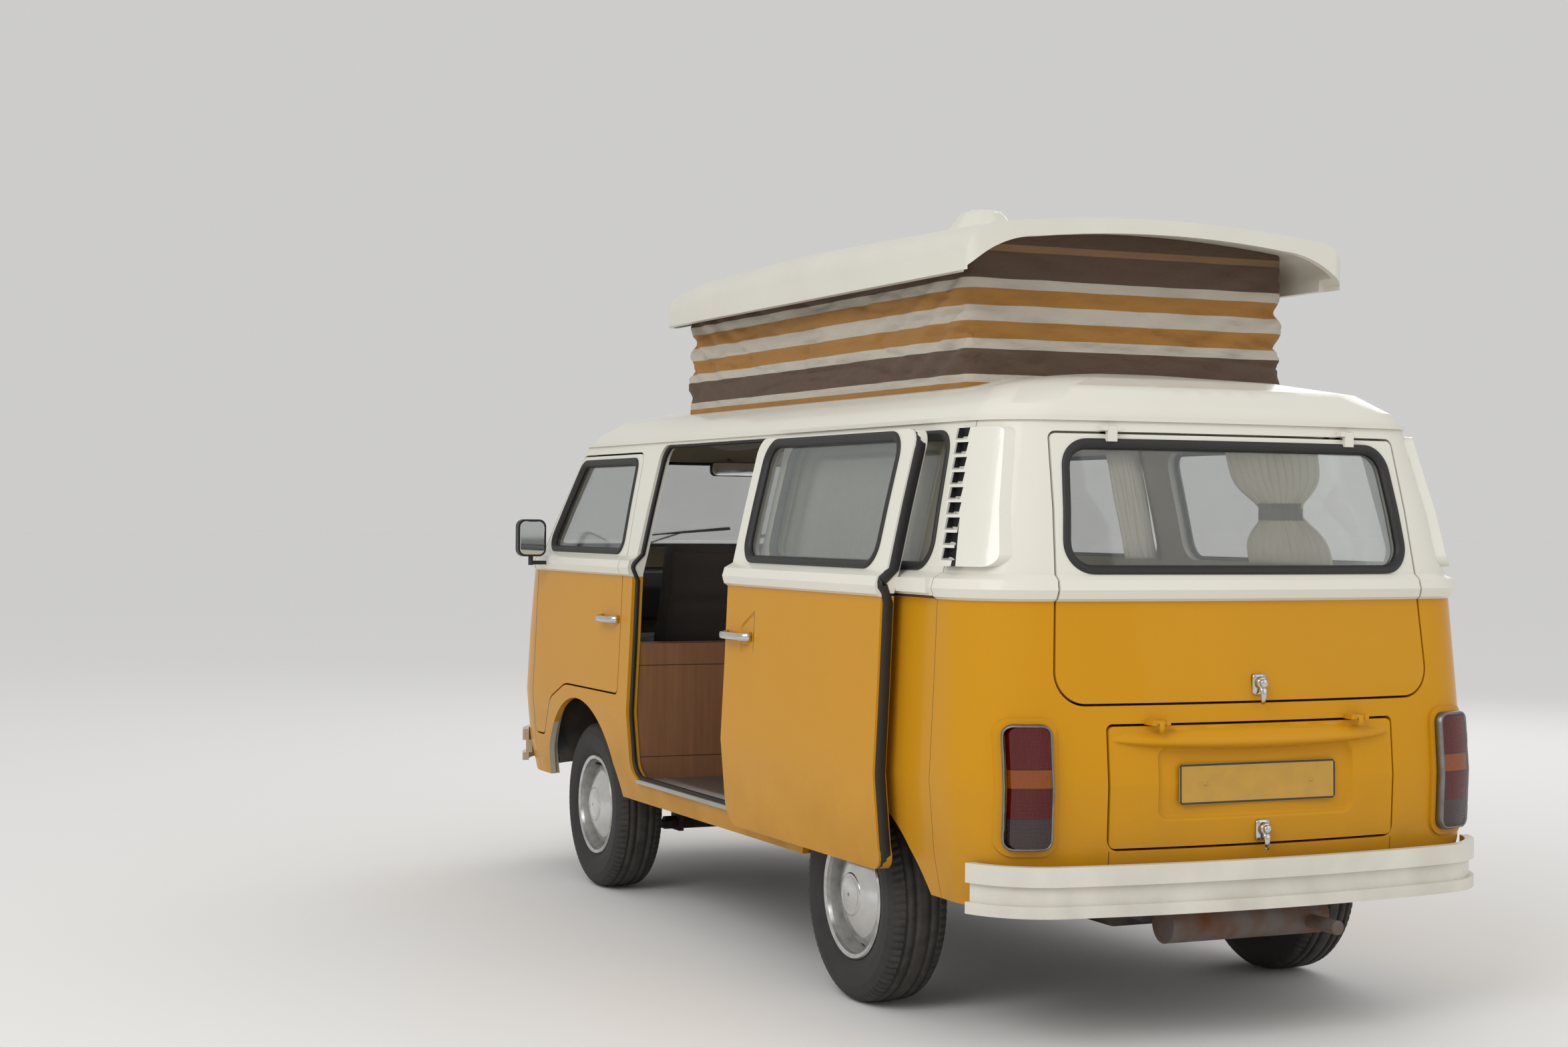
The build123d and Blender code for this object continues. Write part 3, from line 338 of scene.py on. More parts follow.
def make_piece(name, shape, material, body="van", smooth=True):
    """A piece made of (points, faces) in the van's frame, with its finish and its body."""
    points, faces = shape
    mesh = bpy.data.meshes.new(name)
    mesh.from_pydata([tuple(point) for point in points], [], faces)
    mesh.update()
    outward = bmesh.new()
    outward.from_mesh(mesh)
    bmesh.ops.recalc_face_normals(outward, faces=outward.faces)
    outward.to_mesh(mesh)
    outward.free()
    mesh.polygons.foreach_set("use_smooth", [smooth] * len(mesh.polygons))
    mesh.materials.append(material)
    piece = bpy.data.objects.new(name, mesh)
    bpy.context.scene.collection.objects.link(piece)
    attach(piece, body)
    return piece


def grid_faces(rows, columns, close_rows=False, close_columns=False):
    """The faces of a grid of points given row by row."""
    faces = []
    for i in range(rows if close_rows else rows - 1):
        here, there = i * columns, (i + 1) % rows * columns
        for j in range(columns if close_columns else columns - 1):
            beside = (j + 1) % columns
            faces.append((here + j, here + beside, there + beside, there + j))
    return faces


def strip(loop, profile):
    """A profile (sideways, outwards) carried round a closed loop, sideways away from its middle."""
    middle = sum((place for place, _ in loop), Vector()) / len(loop)
    points = []
    for i, (place, way) in enumerate(loop):
        ahead = loop[(i + 1) % len(loop)][0] - loop[i - 1][0]
        side = ahead.cross(way).normalized()
        if side.dot(place - middle) < 0:
            side = -side
        points += [place + side * across + way * rise for across, rise in profile]
    return points, grid_faces(len(loop), len(profile), close_rows=True, close_columns=True)


RUBBER_BLACK = (0.018, 0.017, 0.016)
window_rubber = worn("window_rubber", (260, 3), RUBBER_BLACK, rough=0.42, rougher=0.25, depth=0.0003)
for node, body, outward in PANES:
    for i, loop in enumerate(pane_loops(node, outward)):
        shape = strip(even_loop(loop, RUBBER_STEP), RUBBER_PROFILE)
        make_piece(f"{node}_rubber_{i + 1}", shape, window_rubber, body)

# Canvas wall of the raised roof: coated cotton in woven stripes, fixed to the roof panel below
# and to the lifted cap above. It is slack, so it ripples along its length and pulls from its corners.
CANVAS_STRIPES = [  # top of each stripe in metres over the canvas's foot, and its colour
    (0.030, "ochre"), (0.054, "white"), (0.130, "brown"), (0.161, "white"), (0.212, "ochre"),
    # the thin tan stripe is the ochre cloth in painted shade under the cap
    (0.260, "white"), (0.310, "ochre"), (0.340, "white"), (0.421, "brown"), (0.442, "tan"), (0.700, "brown"),
]
CANVAS_COLOURS = {
    "ochre": (0.43, 0.195, 0.028),
    "white": (0.62, 0.57, 0.48),
    "brown": (0.105, 0.060, 0.036),
    # tan: the ochre cloth painted darker, as the shade under the cap
    "tan": (0.30, 0.17, 0.08),
}
CANVAS_FOOT, CANVAS_CORNER, CANVAS_STEP, CANVAS_ROWS, CORNER_STEPS = 1.828, 0.045, 0.014, 60, 6
# how far the cloth swings, how far out it may, how far in it hangs, and where its edges are fixed
CANVAS_SLACK, CANVAS_ROOM, CANVAS_IN, CANVAS_REST = 0.014, 0.009, 0.006, -0.004
FOOT_SINK, HEAD_RISE = 0.004, 0.002
# the shut cap comes 0.335 m down
canvas_low, canvas_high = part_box("pop_top_canvas")
canvas_cloth = Finish("striped_canvas")
along, height, _ = canvas_cloth.parts(canvas_cloth.node("TexCoord", output="UV"))
colour = CANVAS_COLOURS["ochre"]
for (top, _), (_, name) in zip(CANVAS_STRIPES, CANVAS_STRIPES[1:]):
    colour = canvas_cloth.mix(height > top, colour, CANVAS_COLOURS[name])
weave = ((along * 3400).wave() * (height * 3400).wave()).size()
colour = canvas_cloth.mix(canvas_cloth.noise(4, 5) * 0.30, colour, (0.10, 0.065, 0.04))
canvas_material = canvas_cloth.surface(
    Base_Color=canvas_cloth.mix(weave * 0.12, colour, (0.02, 0.015, 0.01)),
    Roughness=0.72 + weave * 0.1,
    Sheen_Weight=0.05,
    bump=weave * 0.0003 + canvas_cloth.noise(26, 4, stretch=(1, 1, 2.6)) * 0.006,
    depth=1.0,
)


def surface_tree(*names, shift=Vector()):
    """A tree to cast rays on, of CAD pieces at rest or shifted."""
    points, faces = [], []
    for name in names:
        start = len(points)
        points += [corner.co + shift for corner in nodes[name].data.vertices]
        faces += [[start + i for i in face.vertices] for face in nodes[name].data.polygons]
    return BVHTree.FromPolygons(points, faces)


def cast(tree, start, way, miss=None):
    """Where a ray first meets a tree, or else miss."""
    return tree.ray_cast(Vector(start), Vector(way))[0] or (Vector(miss) if miss else None)


def rounded_ring(low_x, high_x, half_y, radius, step):
    """Places and outward ways round a rounded rectangle, from its nose's left corner."""
    ring = []
    corners = [(high_x, half_y, 0), (low_x, half_y, 1), (low_x, -half_y, 2), (high_x, -half_y, 3)]
    for (x, y, turn), (next_x, next_y, _) in zip(corners, corners[1:] + corners[:1]):
        middle = Vector((x - radius if x > 0 else x + radius, y - radius if y > 0 else y + radius, 0))
        for i in range(CORNER_STEPS + 1):
            angle = (turn + i / CORNER_STEPS) * pi / 2
            way = Vector((cos(angle), sin(angle), 0))
            ring.append((middle + way * radius, way))
        straight = abs(next_x - x) + abs(next_y - y) - 2 * radius
        start, ahead = ring[-1][0], Vector((-way.y, way.x, 0))
        ring += [(start + ahead * i * step, way) for i in range(1, int(straight / step))]
    return ring


roof_tree, cap_tree = surface_tree("roof"), surface_tree("pop_top_cap")
ring = rounded_ring(canvas_low.x, canvas_high.x, canvas_high.y, CANVAS_CORNER, CANVAS_STEP)
points, uvs, travelled, lowest_head = [], [], 0, canvas_high.z
for i, (place, way) in enumerate(ring):
    travelled += (place - ring[i - 1][0]).length if i else 0
    foot = cast(roof_tree, (place.x, place.y, 2.1), -UP, (place.x, place.y, CANVAS_FOOT)).z
    head = cast(cap_tree, (place.x, place.y, 2.05), UP, (place.x, place.y, canvas_high.z)).z
    lowest_head = min(lowest_head, head)
    from_end = min(abs(place.x - canvas_low.x), abs(place.x - canvas_high.x))
    from_corner = hypot(from_end, canvas_high.y - abs(place.y))
    pull = 1 / (1 + (from_corner / 0.35) ** 2)
    for row in range(CANVAS_ROWS):
        share = row / (CANVAS_ROWS - 1)
        z = foot - FOOT_SINK + (head + HEAD_RISE - foot) * share
        free = sin(pi * min(1, share * 1.08)) ** 0.6
        ripple = noise.noise(Vector((travelled * 1.3, z * 10, 1.7))) * 0.9
        fold = noise.noise(Vector((travelled * 2.3 + z * 6, z * 10 - travelled * 0.9, 5.3)))
        crease = noise.noise(Vector((travelled * 1.2, z * 24 + travelled * 0.7, 2.2)))
        ripple -= 0.9 * (1 - abs(fold)) ** 12 + 0.7 * (1 - abs(crease)) ** 14 * (1.3 - share)
        ripple += noise.noise(Vector((travelled * 5.2, z * 23, 8.1))) * 0.35
        slant = sin((z - foot) * 60 + from_corner * 34) * pull * 1.3
        out = CANVAS_REST + min(CANVAS_SLACK * free * (ripple + slant * 0.6), CANVAS_ROOM)
        points.append(place - way * CANVAS_IN + way * out + Vector((0, 0, z)))
        uvs.append((travelled, z - CANVAS_FOOT))
shape = points, grid_faces(len(ring), CANVAS_ROWS, close_rows=True)
canvas = make_piece("canvas_wall", shape, canvas_material)
layer = canvas.data.uv_layers.new(name="cloth")
for corner in canvas.data.loops:
    layer.data[corner.index].uv = uvs[corner.vertex_index]
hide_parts("pop_top_canvas")
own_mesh(canvas)

# Lifting cap and its vent: a moulding in glass-fibre, white gel coat outside with a faint
# orange-peel ripple, which has greyed a little in patches. The vent is moulded with flat sides.
gel = Finish("gel_coat")
gel_patch = gel.noise(3.5, 6)
gel_coat = gel.surface(
    Base_Color=gel.mix(gel_patch * 0.35, (0.70, 0.68, 0.60), (0.42, 0.40, 0.35)),
    Roughness=0.32 + gel_patch * 0.2,
    Coat_Weight=0.2,
    bump=gel.noise(60, 2),
    depth=0.0006,
)
dress(gel_coat, "pop_top_cap")
vent_low, vent_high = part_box("roof_vent")
vent_middle = (vent_low + vent_high) / 2
VENT_FACETS, VENT_STEPS, VENT_RADIUS, FACET_DEPTH = 10, 60, 0.115, 0.028
VENT_HOOD = [  # height under the crown, radius
    (0.093, 0.098), (0.093, 0.1135), (0.088, 0.1150), (0.072, 0.1145), (0.060, 0.1080),
    (0.014, 0.0740), (0.004, 0.0640), (0.001, 0.0500), (0.000, 0.0200), (0.000, 0.0001),
]
points = []
for i in range(VENT_STEPS):
    turn = tau * i / VENT_STEPS
    for drop, radius in VENT_HOOD:
        reach = min(VENT_RADIUS, radius * (1 + FACET_DEPTH * cos(VENT_FACETS * turn)))
        x, y = vent_middle.x + reach * cos(turn), vent_middle.y + reach * sin(turn)
        points.append(Vector((x, y, vent_high.z - drop)))
shape = points, grid_faces(VENT_STEPS, len(VENT_HOOD), close_rows=True)
vent_hood = make_piece("vent_hood", shape, gel_coat, "pop_top")
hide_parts("roof_vent")

# Glass: clear panes of toughened glass, cut and bent to their openings and held by their rubbers.
# They have the reflection that any pane has, and a little dust.
pane = Finish("pane")
facing = pane.node("LayerWeight", None, {"Blend": 0.30}, output="Fresnel")
pane_dust = pane.noise(9, 4)
pane_glass = pane.surface(
    Base_Color=(0.62, 0.66, 0.65),
    Metallic=1.0,
    Roughness=0.03 + pane_dust * 0.03,
    Alpha=0.04 + facing * 0.38 + pane_dust * 0.04,
)
dress(pane_glass, *(node for node, _, _ in PANES))

# Door rubbers: hollow black strips round each door opening, which the shut door squeezes. The
# sliding door stands open, so its own edge strip shows, and so does the one round its opening.
slide_front = front_x - 0.564
slide_back = slide_front - slide_rear - 0.050
SEAL_STEP, SEAL_INSET = 0.02, 0.012
BEHIND_SEAL, CAB_SEAL = (
    [(low, -0.0435), (high, -0.0435), (high, -0.056), (low, -0.056)]
    for low, high in ((-0.012, 0.002), (-0.013, 0.0125))
)
OPENING_SEAL = [(0.001, -0.012), (-0.004, -0.014), (-0.005, -0.028), (0.001, -0.032)]
EDGE_SEAL = [(-0.001, -0.006), (0.003, -0.010), (0.003, -0.038), (-0.001, -0.041)]


def rounded_box(low_a, low_b, high_a, high_b, low_radius, high_radius=None):
    """The corners of a rounded rectangle: (a, b, rounding radius)."""
    low, high = (low_b, low_radius), (high_b, high_radius or low_radius)
    return [(low_a, *low), (low_a, *high), (high_a, *high), (high_a, *low)]


def rounded_loop(corners, step):
    """Points round a closed outline given as (a, b, rounding radius), with arcs at its corners."""
    loop = []
    for i, (a, b, radius) in enumerate(corners):
        here = Vector((a, b))
        back = (Vector(corners[i - 1][:2]) - here).normalized()
        ahead = (Vector(corners[(i + 1) % len(corners)][:2]) - here).normalized()
        half = back.angle(ahead) / 2
        middle = here + (back + ahead).normalized() * radius / sin(half)
        start = here + back * radius / tan(half) - middle
        end = here + ahead * radius / tan(half) - middle
        count = max(1, ceil(radius * (pi - 2 * half) / step))
        loop += [middle + start.slerp(end, j / count) * radius for j in range(count + 1)]
    even = []
    for here, there in zip(loop, loop[1:] + loop[:1]):
        count = max(1, round((there - here).length / step))
        even += [here.lerp(there, j / count) for j in range(count) if (there - here).length > 1e-6]
    return even


def laid_loop(corners, tree, axis, side, step=SEAL_STEP, inset=SEAL_INSET):
    """A rounded outline laid on the body: (place, outward way), found by rays from outside."""
    flat = rounded_loop(corners, step)
    middle = sum(flat, Vector((0, 0))) / len(flat)
    way = Vector((0, 0, 0))
    way[axis] = side
    other = 1 - axis
    loop = []
    for point in flat:
        inner = point + (middle - point).normalized() * inset
        start = Vector((0, 0, inner.y)) + way * 3
        start[other] = inner.x
        found, normal, _, _ = tree.ray_cast(start, -way)
        if not found:
            found, normal = loop[-1] if loop else (way, way)
        place = Vector((0, 0, point.y))
        place[other] = point.x
        place[axis] = found[axis] - normal[other] / normal[axis] * (point.x - inner.x) * 0.5
        loop.append((place, Vector(normal)))
    return loop


CAB_OPENING = [
    (front_x - 0.463, 0.784, 0.030),
    (front_x - 0.463, 1.306, 0.300),
    (front_x - 0.397, 1.696, 0.050),
    (front_x + 0.318, 1.696, 0.060),
    (front_x + 0.550, 1.290, 0.120),
    (front_x + 0.550, 0.560, 0.040),
    (front_x + 0.432, 0.560, 0.030),
    (front_x + 0.330, 0.714, 0.120),
    (front_x + 0.150, 0.784, 0.200),
]
SLIDE_OPENING = rounded_box(slide_rear, 0.485, slide_front, 1.717, 0.070, 0.060)
EDGE_REAR, EDGE_FRONT = slide_rear - slide_back + 0.007, slide_front - slide_back - 0.007
SLIDE_DOOR = rounded_box(EDGE_REAR, 0.449, EDGE_FRONT, 1.710, 0.060, 0.055)
TAIL_OPENING = [(-0.630, 0.946, 0.090), (-0.583, 1.698, 0.025)]
TAIL_OPENING += [(-y, z, radius) for y, z, radius in reversed(TAIL_OPENING)]
LID_OPENING = rounded_box(-0.477, 0.552, 0.477, 0.897, 0.035, 0.018)
# the sliding door as if it were shut, to lay the opening's rubber by
shut_side = surface_tree("sliding_door", shift=Vector((slide_back, -0.075, 0)))
tail_tree = surface_tree("rear_panel")
SEALS = [
    # name, outline, the surface it is laid by, axis and side it faces, inset of its rays, section
    ("left_door_seal", CAB_OPENING, surface_tree("left_cab_door"), 1, 1, SEAL_INSET, CAB_SEAL),
    ("right_door_seal", CAB_OPENING, surface_tree("right_cab_door"), 1, -1, SEAL_INSET, CAB_SEAL),
    ("tailgate_seal", TAIL_OPENING, tail_tree, 0, -1, -0.022, BEHIND_SEAL),
    ("engine_lid_seal", LID_OPENING, tail_tree, 0, -1, -0.022, BEHIND_SEAL),
    ("side_opening_seal", SLIDE_OPENING, shut_side, 1, 1, SEAL_INSET, OPENING_SEAL),
    ("sliding_door_seal", SLIDE_DOOR, surface_tree("sliding_door"), 1, 1, SEAL_INSET, EDGE_SEAL),
]
for name, corners, tree, axis, side, inset, profile in SEALS:
    loop = laid_loop(corners, tree, axis, side, inset=inset)
    make_piece(name, strip(loop, profile), window_rubber)

# Chrome: handles, rings and small fittings are pressed brass or cast zinc, polished and plated.
# It is dulled by fine dust.
CHROME, CHROME_DUST = (0.66, 0.66, 0.65), (0.30, 0.28, 0.25)
chrome = worn("chrome", (40, 4), CHROME, CHROME_DUST, share=0.4, rough=0.07, rougher=0.16, Metallic=1.0)


def swept(path, sections, up):
    """A closed bar: a cross-section (outwards, up) for each point of a path, with flat ends."""
    points, count = [], len(sections[0])
    for i, place in enumerate(path):
        ahead = (path[min(i + 1, len(path) - 1)] - path[max(i - 1, 0)]).normalized()
        out = up.cross(ahead).normalized()
        over = ahead.cross(out)
        points += [place + out * a + over * b for a, b in sections[i]]
    faces = grid_faces(len(path), count, close_columns=True)
    faces += [tuple(reversed(range(count))), tuple(range(len(points) - count, len(points)))]
    return points, faces


def oval(width, height, count=16):
    """An oval cross-section round its middle."""
    return [(width / 2 * cos(tau * i / count), height / 2 * sin(tau * i / count)) for i in range(count)]


def turned(profile, place, axis, count=32):
    """A turned piece: (distance along the axis, radius) carried round, closed at a zero radius."""
    axis = Vector(axis).normalized()
    first = axis.orthogonal().normalized()
    second = axis.cross(first)
    points = []
    for i in range(count):
        way = first * cos(tau * i / count) + second * sin(tau * i / count)
        points += [Vector(place) + axis * reach + way * radius for reach, radius in profile]
    return points, grid_faces(count, len(profile), close_rows=True)


def joined(*shapes):
    """Several (points, faces) as one."""
    points, faces = [], []
    for more_points, more_faces in shapes:
        start = len(points)
        points += more_points
        faces += [tuple(start + i for i in face) for face in more_faces]
    return points, faces


# Door handles: a chromed grip that stands off two feet, with a push button at its front end.
# Tailgate and lid have a turning grip on a round boss with a key barrel.
GRIP_OUT, GRIP_STEPS = 0.034, 24
BOSS = [(0, 0.0185), (0.010, 0.0180), (0.016, 0.0165), (0.018, 0.0145), (0.018, 0.0001)]
BUTTON = [(0, 0.012), (0.010, 0.012), (0.013, 0.010), (0.013, 0.0001)]
ESCUTCHEON = rounded_box(-0.023, -0.027, 0.023, 0.031, 0.008)
LEVER_BEND = ((0.020, -0.004), (0.026, -0.014), (0.028, -0.030), (0.024, -0.052))
LEVER_SECTIONS = [oval(0.012, 0.022), oval(0.012, 0.022), oval(0.008, 0.018), oval(0.005, 0.013)]


def grip(node, low_x, high_x, z, side):
    """A bowed grip laid off the skin of a door, with its button."""
    tree = surface_tree(node)
    path, sections = [], []
    for i in range(GRIP_STEPS + 1):
        share = i / GRIP_STEPS
        x = low_x + (high_x - low_x) * share
        skin = cast(tree, (x, side * 3, z), (0, -side, 0), (x, side * 0.85, z)).y
        lift = min(1, min(share, 1 - share) / 0.16)
        path.append(Vector((x, skin + side * GRIP_OUT * sin(lift * pi / 2), z)))
        foot = 1 - lift
        sections.append(oval(0.014 + 0.006 * foot, 0.021 + 0.010 * foot + 0.004 * sin(pi * share)))
    button = turned(BUTTON, path[22] + Vector((0, -side * 0.004, 0)), (0, side, 0))
    return joined(swept(path, sections, UP), button)


def stacked(loop, levels, middle, out, across=LEFT, over=UP):
    """A flat piece on its middle point: a loop at each level (distance out, how far it is drawn in)."""
    points = []
    for reach, shrink in levels:
        for spot in loop:
            spot = spot * (1 - shrink / max(spot.length, 0.01))
            points.append(middle + across * spot.x + over * spot.y + out * reach)
    count = len(loop)
    faces = grid_faces(len(levels), count, close_columns=True)
    faces += [tuple(range(len(points) - count, len(points))), tuple(reversed(range(count)))]
    return points, faces


def slab(corners, middle, out, thickness):
    """A flat rounded plate with an eased rim."""
    levels = ((0, 0), (thickness * 0.7, 0), (thickness, 0.0015))
    return stacked(rounded_loop(corners, 0.006), levels, middle, out)


def lever(node, y, z):
    """A turning grip with its boss, its key barrel and the plate behind them."""
    skin, out, rise = cast(surface_tree(node), (-4, y, z), AHEAD), -AHEAD, Vector((0, 0, 0.006))
    path = [skin + out * reach + Vector((0, 0, drop)) for reach, drop in LEVER_BEND]
    return joined(
        slab(ESCUTCHEON, skin - out * 0.002, out, 0.010),
        turned(BOSS, skin + out * 0.006 + rise, out),
        turned(BUTTON, skin + out * 0.020 + rise, out),
        swept(path, LEVER_SECTIONS, LEFT),
    )


CAB_GRIP = (front_x - 0.438, front_x - 0.264, 1.065)
HANDLES = [
    ("left_door_handle", "left_cab_door", grip("left_cab_door", *CAB_GRIP, 1)),
    ("right_door_handle", "right_cab_door", grip("right_cab_door", *CAB_GRIP, -1)),
    ("sliding_door_handle", "van", grip("sliding_door", rear_x + 0.520, rear_x + 0.715, 1.070, 1)),
    ("tailgate_handle", "tailgate", lever("tailgate", -0.005, 0.996)),
    ("engine_lid_handle", "engine_lid", lever("engine_lid", -0.008, 0.592)),
]
for name, body, shape in HANDLES:
    make_piece(name, shape, chrome, body)

# Tail lamps: one moulded lens each, red over amber over red over a clear foot, fluted inside,
# in a dulled alloy ring that is screwed to the housing pressed in the tail corner.
SIDES = ((1, "left"), (-1, "right"))
LAMP_RED, LAMP_AMBER, LAMP_FOOT = (0.095, 0.002, 0.002), (0.26, 0.060, 0.004), (0.045, 0.030, 0.030)
LAMP_BANDS = ((0.648, (0.085, 0.002, 0.002)), (0.730, LAMP_AMBER), (0.782, LAMP_RED))
LAMP_IN, LAMP_OUT, LAMP_LOW, LAMP_HIGH = 0.650, 0.762, 0.569, 0.893
RING_PROFILE = [(-0.001, -0.004), (-0.0015, 0.0225), (0.001, 0.0250)]
RING_PROFILE += [(0.005, 0.022), (0.008, 0.011), (0.009, -0.006)]
lens = Finish("tail_lens")
lens_colour = LAMP_FOOT
for height, shade in LAMP_BANDS:
    lens_colour = lens.mix(lens.z > height, lens_colour, shade)
flutes = ((lens.y * 900).wave() * (lens.z * 900).wave()).size()
step_lines = ((lens.z - 0.730).size() < 0.002) + ((lens.z - 0.782).size() < 0.002)
tail_lens = lens.surface(
    Base_Color=lens.mix(step_lines.clamped() * 0.7, lens_colour, (0.02, 0.002, 0.002)),
    Roughness=0.16,
    Specular_IOR_Level=0.35,
    Coat_Weight=0.15,
    bump=flutes - step_lines,
    depth=0.0012,
)
dress(tail_lens, "tail_lamps")
ALLOY, ALLOY_DULL = (0.30, 0.30, 0.30), (0.17, 0.165, 0.16)
ring_alloy = worn("lamp_ring_alloy", (30, 4), ALLOY, ALLOY_DULL, rough=0.32, rougher=0.2, Metallic=1.0)
for side, name in SIDES:
    corners = rounded_box(side * LAMP_IN, LAMP_LOW, side * LAMP_OUT, LAMP_HIGH, 0.022)
    loop = laid_loop(corners, tail_tree, 0, -1, step=0.008, inset=-0.014)
    make_piece(f"{name}_tail_lamp_ring", strip(loop, RING_PROFILE), ring_alloy)

# Front lamps: sealed round glass with fluting, and amber turn lamps over them. Each headlamp has
# a chromed ring.
front_lens = Finish("front_lens")
amber = (front_lens.z > 1.0).clamped()
lamp_glass = front_lens.surface(
    Base_Color=front_lens.mix(amber, (0.60, 0.62, 0.60), (0.62, 0.20, 0.015)),
    Roughness=0.10,
    Metallic=0.6 - amber * 0.6,
    Coat_Weight=0.8,
    bump=(front_lens.y * 700).wave().size(),
    depth=0.0010,
)
dress(lamp_glass, "front_lamps")
HEAD_X, HEAD_Y, HEAD_Z = front_x + 1.040, 0.572, 0.800
HEAD_RING = [(-0.062, 0.097), (-0.018, 0.112), (-0.008, 0.110), (-0.012, 0.097), (-0.022, 0.0955)]
for side, name in SIDES:
    shape = turned(HEAD_RING, (HEAD_X, side * HEAD_Y, HEAD_Z), AHEAD, 48)
    make_piece(f"{name}_headlamp_ring", shape, chrome)

# Engine lid: one pressing, with the soft-edged recess that holds the number plate and the long
# bulge over it, which shades the plate. It hangs on two cranked straps from the panel above it.
LID_HALF, LID_LOW, LID_HIGH, LID_CORNER = 0.470, 0.559, 0.890, 0.016
LID_COLUMNS, LID_ROWS, LID_WALL, LID_MID = 150, 92, 0.030, (0.559 + 0.890) / 2
RECESS_HALF, RECESS_LOW, RECESS_HIGH, RECESS_CORNER, RECESS_DEPTH = 0.320, 0.636, 0.828, 0.028, 0.012
BULGE_HALF, BULGE_Z, BULGE_RISE, BULGE_OUT, BULGE_CREST = 0.459, 0.854, 0.031, 0.036, 0.35
SAMPLE_Y, SAMPLE_LOW, SAMPLE_HIGH = 0.458, LID_LOW + 0.020, LID_HIGH - 0.0015
STRAP_FROM, STRAP_TO, STRAP_Y = 0.305, 0.357, 0.331
STRAP_BARREL = [(-0.015, 0.0001), (-0.015, 0.007), (-0.013, 0.008)]
STRAP_BARREL += [(-reach, radius) for reach, radius in reversed(STRAP_BARREL)]
STRAP_CRANK = [(-0.001, 0.006), (-0.0095, 0.001), (-0.011, -0.012), (-0.009, -0.026)]
lid_tree = surface_tree("engine_lid")


def lid_skin(y, z):
    """Where the solid lid's outer face stands."""
    return cast(lid_tree, (-4, y, z), AHEAD).x


def head_line(y):
    """The body's curve along the lid's top edge, carried straight under the hinge straps."""
    if not STRAP_FROM < abs(y) < STRAP_TO:
        return lid_skin(y, SAMPLE_HIGH)
    share = (abs(y) - STRAP_FROM) / (STRAP_TO - STRAP_FROM)
    way = 1 if y > 0 else -1
    inner, outer = (lid_skin(way * end, SAMPLE_HIGH) for end in (STRAP_FROM, STRAP_TO))
    return inner * (1 - share) + outer * share


def eased(share):
    """A share from 0 to 1 with soft ends."""
    share = max(0, min(1, share))
    return share * share * (3 - 2 * share)


def lid_relief(y, z):
    """How far the pressing stands out of the body's own curve at a place."""
    past_y = abs(y) - (RECESS_HALF - RECESS_CORNER)
    past_z = abs(z - (RECESS_LOW + RECESS_HIGH) / 2) - ((RECESS_HIGH - RECESS_LOW) / 2 - RECESS_CORNER)
    outside = hypot(max(past_y, 0), max(past_z, 0)) + min(max(past_y, past_z), 0) - RECESS_CORNER
    relief = -RECESS_DEPTH * eased(0.5 - outside / 0.012)
    along = abs(y) / BULGE_HALF
    if along < 1:
        over = (z - BULGE_Z) / (BULGE_RISE * (1 - along**2) ** 0.5)
        if abs(over) < 1:
            crest = over + BULGE_CREST
            skew = crest / (1 + BULGE_CREST) if crest > 0 else crest / (1 - BULGE_CREST)
            relief = max(relief, BULGE_OUT * (1 - along**2) ** 0.6 * (1 - skew**2) ** 0.75)
    return relief


side_low, side_high = lid_skin(SAMPLE_Y, SAMPLE_LOW), lid_skin(SAMPLE_Y, SAMPLE_HIGH)
points = []
for column in range(LID_COLUMNS):
    y = LID_HALF * (2 * column / (LID_COLUMNS - 1) - 1)
    inner_y = max(-SAMPLE_Y, min(SAMPLE_Y, y))
    foot_x, head_x = lid_skin(inner_y, SAMPLE_LOW), head_line(inner_y)
    for row in range(LID_ROWS):
        z = LID_LOW + (LID_HIGH - LID_LOW) * row / (LID_ROWS - 1)
        side_x = lid_skin(SAMPLE_Y, max(LID_LOW + 0.008, min(SAMPLE_HIGH, z)))
        base_x = foot_x + (head_x - foot_x) * (side_x - side_low) / (side_high - side_low)
        past_z = abs(z - LID_MID) - ((LID_HIGH - LID_LOW) / 2 - LID_CORNER)
        past = Vector((abs(y) - (LID_HALF - LID_CORNER), past_z))
        place = Vector((base_x - lid_relief(y, z), y, z))
        if past.x > 0 and past.y > 0:
            pulled = past * (max(past) / past.length)
            place.y -= (past.x - pulled.x) * (1 if y > 0 else -1)
            place.z -= (past.y - pulled.y) * (1 if z > LID_MID else -1)
        points.append(place)
faces = grid_faces(LID_COLUMNS, LID_ROWS)
count = len(points)
points += [point + AHEAD * LID_WALL for point in points]
faces += [tuple(count + i for i in reversed(face)) for face in faces]
edge = [column * LID_ROWS for column in range(LID_COLUMNS)]
edge += [(LID_COLUMNS - 1) * LID_ROWS + row for row in range(1, LID_ROWS)]
edge += [column * LID_ROWS + LID_ROWS - 1 for column in range(LID_COLUMNS - 2, -1, -1)]
edge += list(range(LID_ROWS - 2, 0, -1))
faces += [(here, there, there + count, here + count) for here, there in zip(edge, edge[1:] + edge[:1])]
lid = make_piece("engine_lid_pressing", (points, faces), body_enamel, "engine_lid")
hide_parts("engine_lid")
lid.modifiers.new("sharp_rim", "EDGE_SPLIT").split_angle = radians(50)
for side, name in SIDES:
    pin = Vector((rear_x - 0.944, side * STRAP_Y, 0.900))
    leaf = [pin + Vector((reach, 0, drop)) for reach, drop in STRAP_CRANK]
    shape = joined(turned(STRAP_BARREL, pin, LEFT, 20), swept(leaf, [oval(0.006, 0.016, 12)] * 4, LEFT))
    make_piece(f"{name}_lid_strap", shape, body_enamel, "engine_lid")

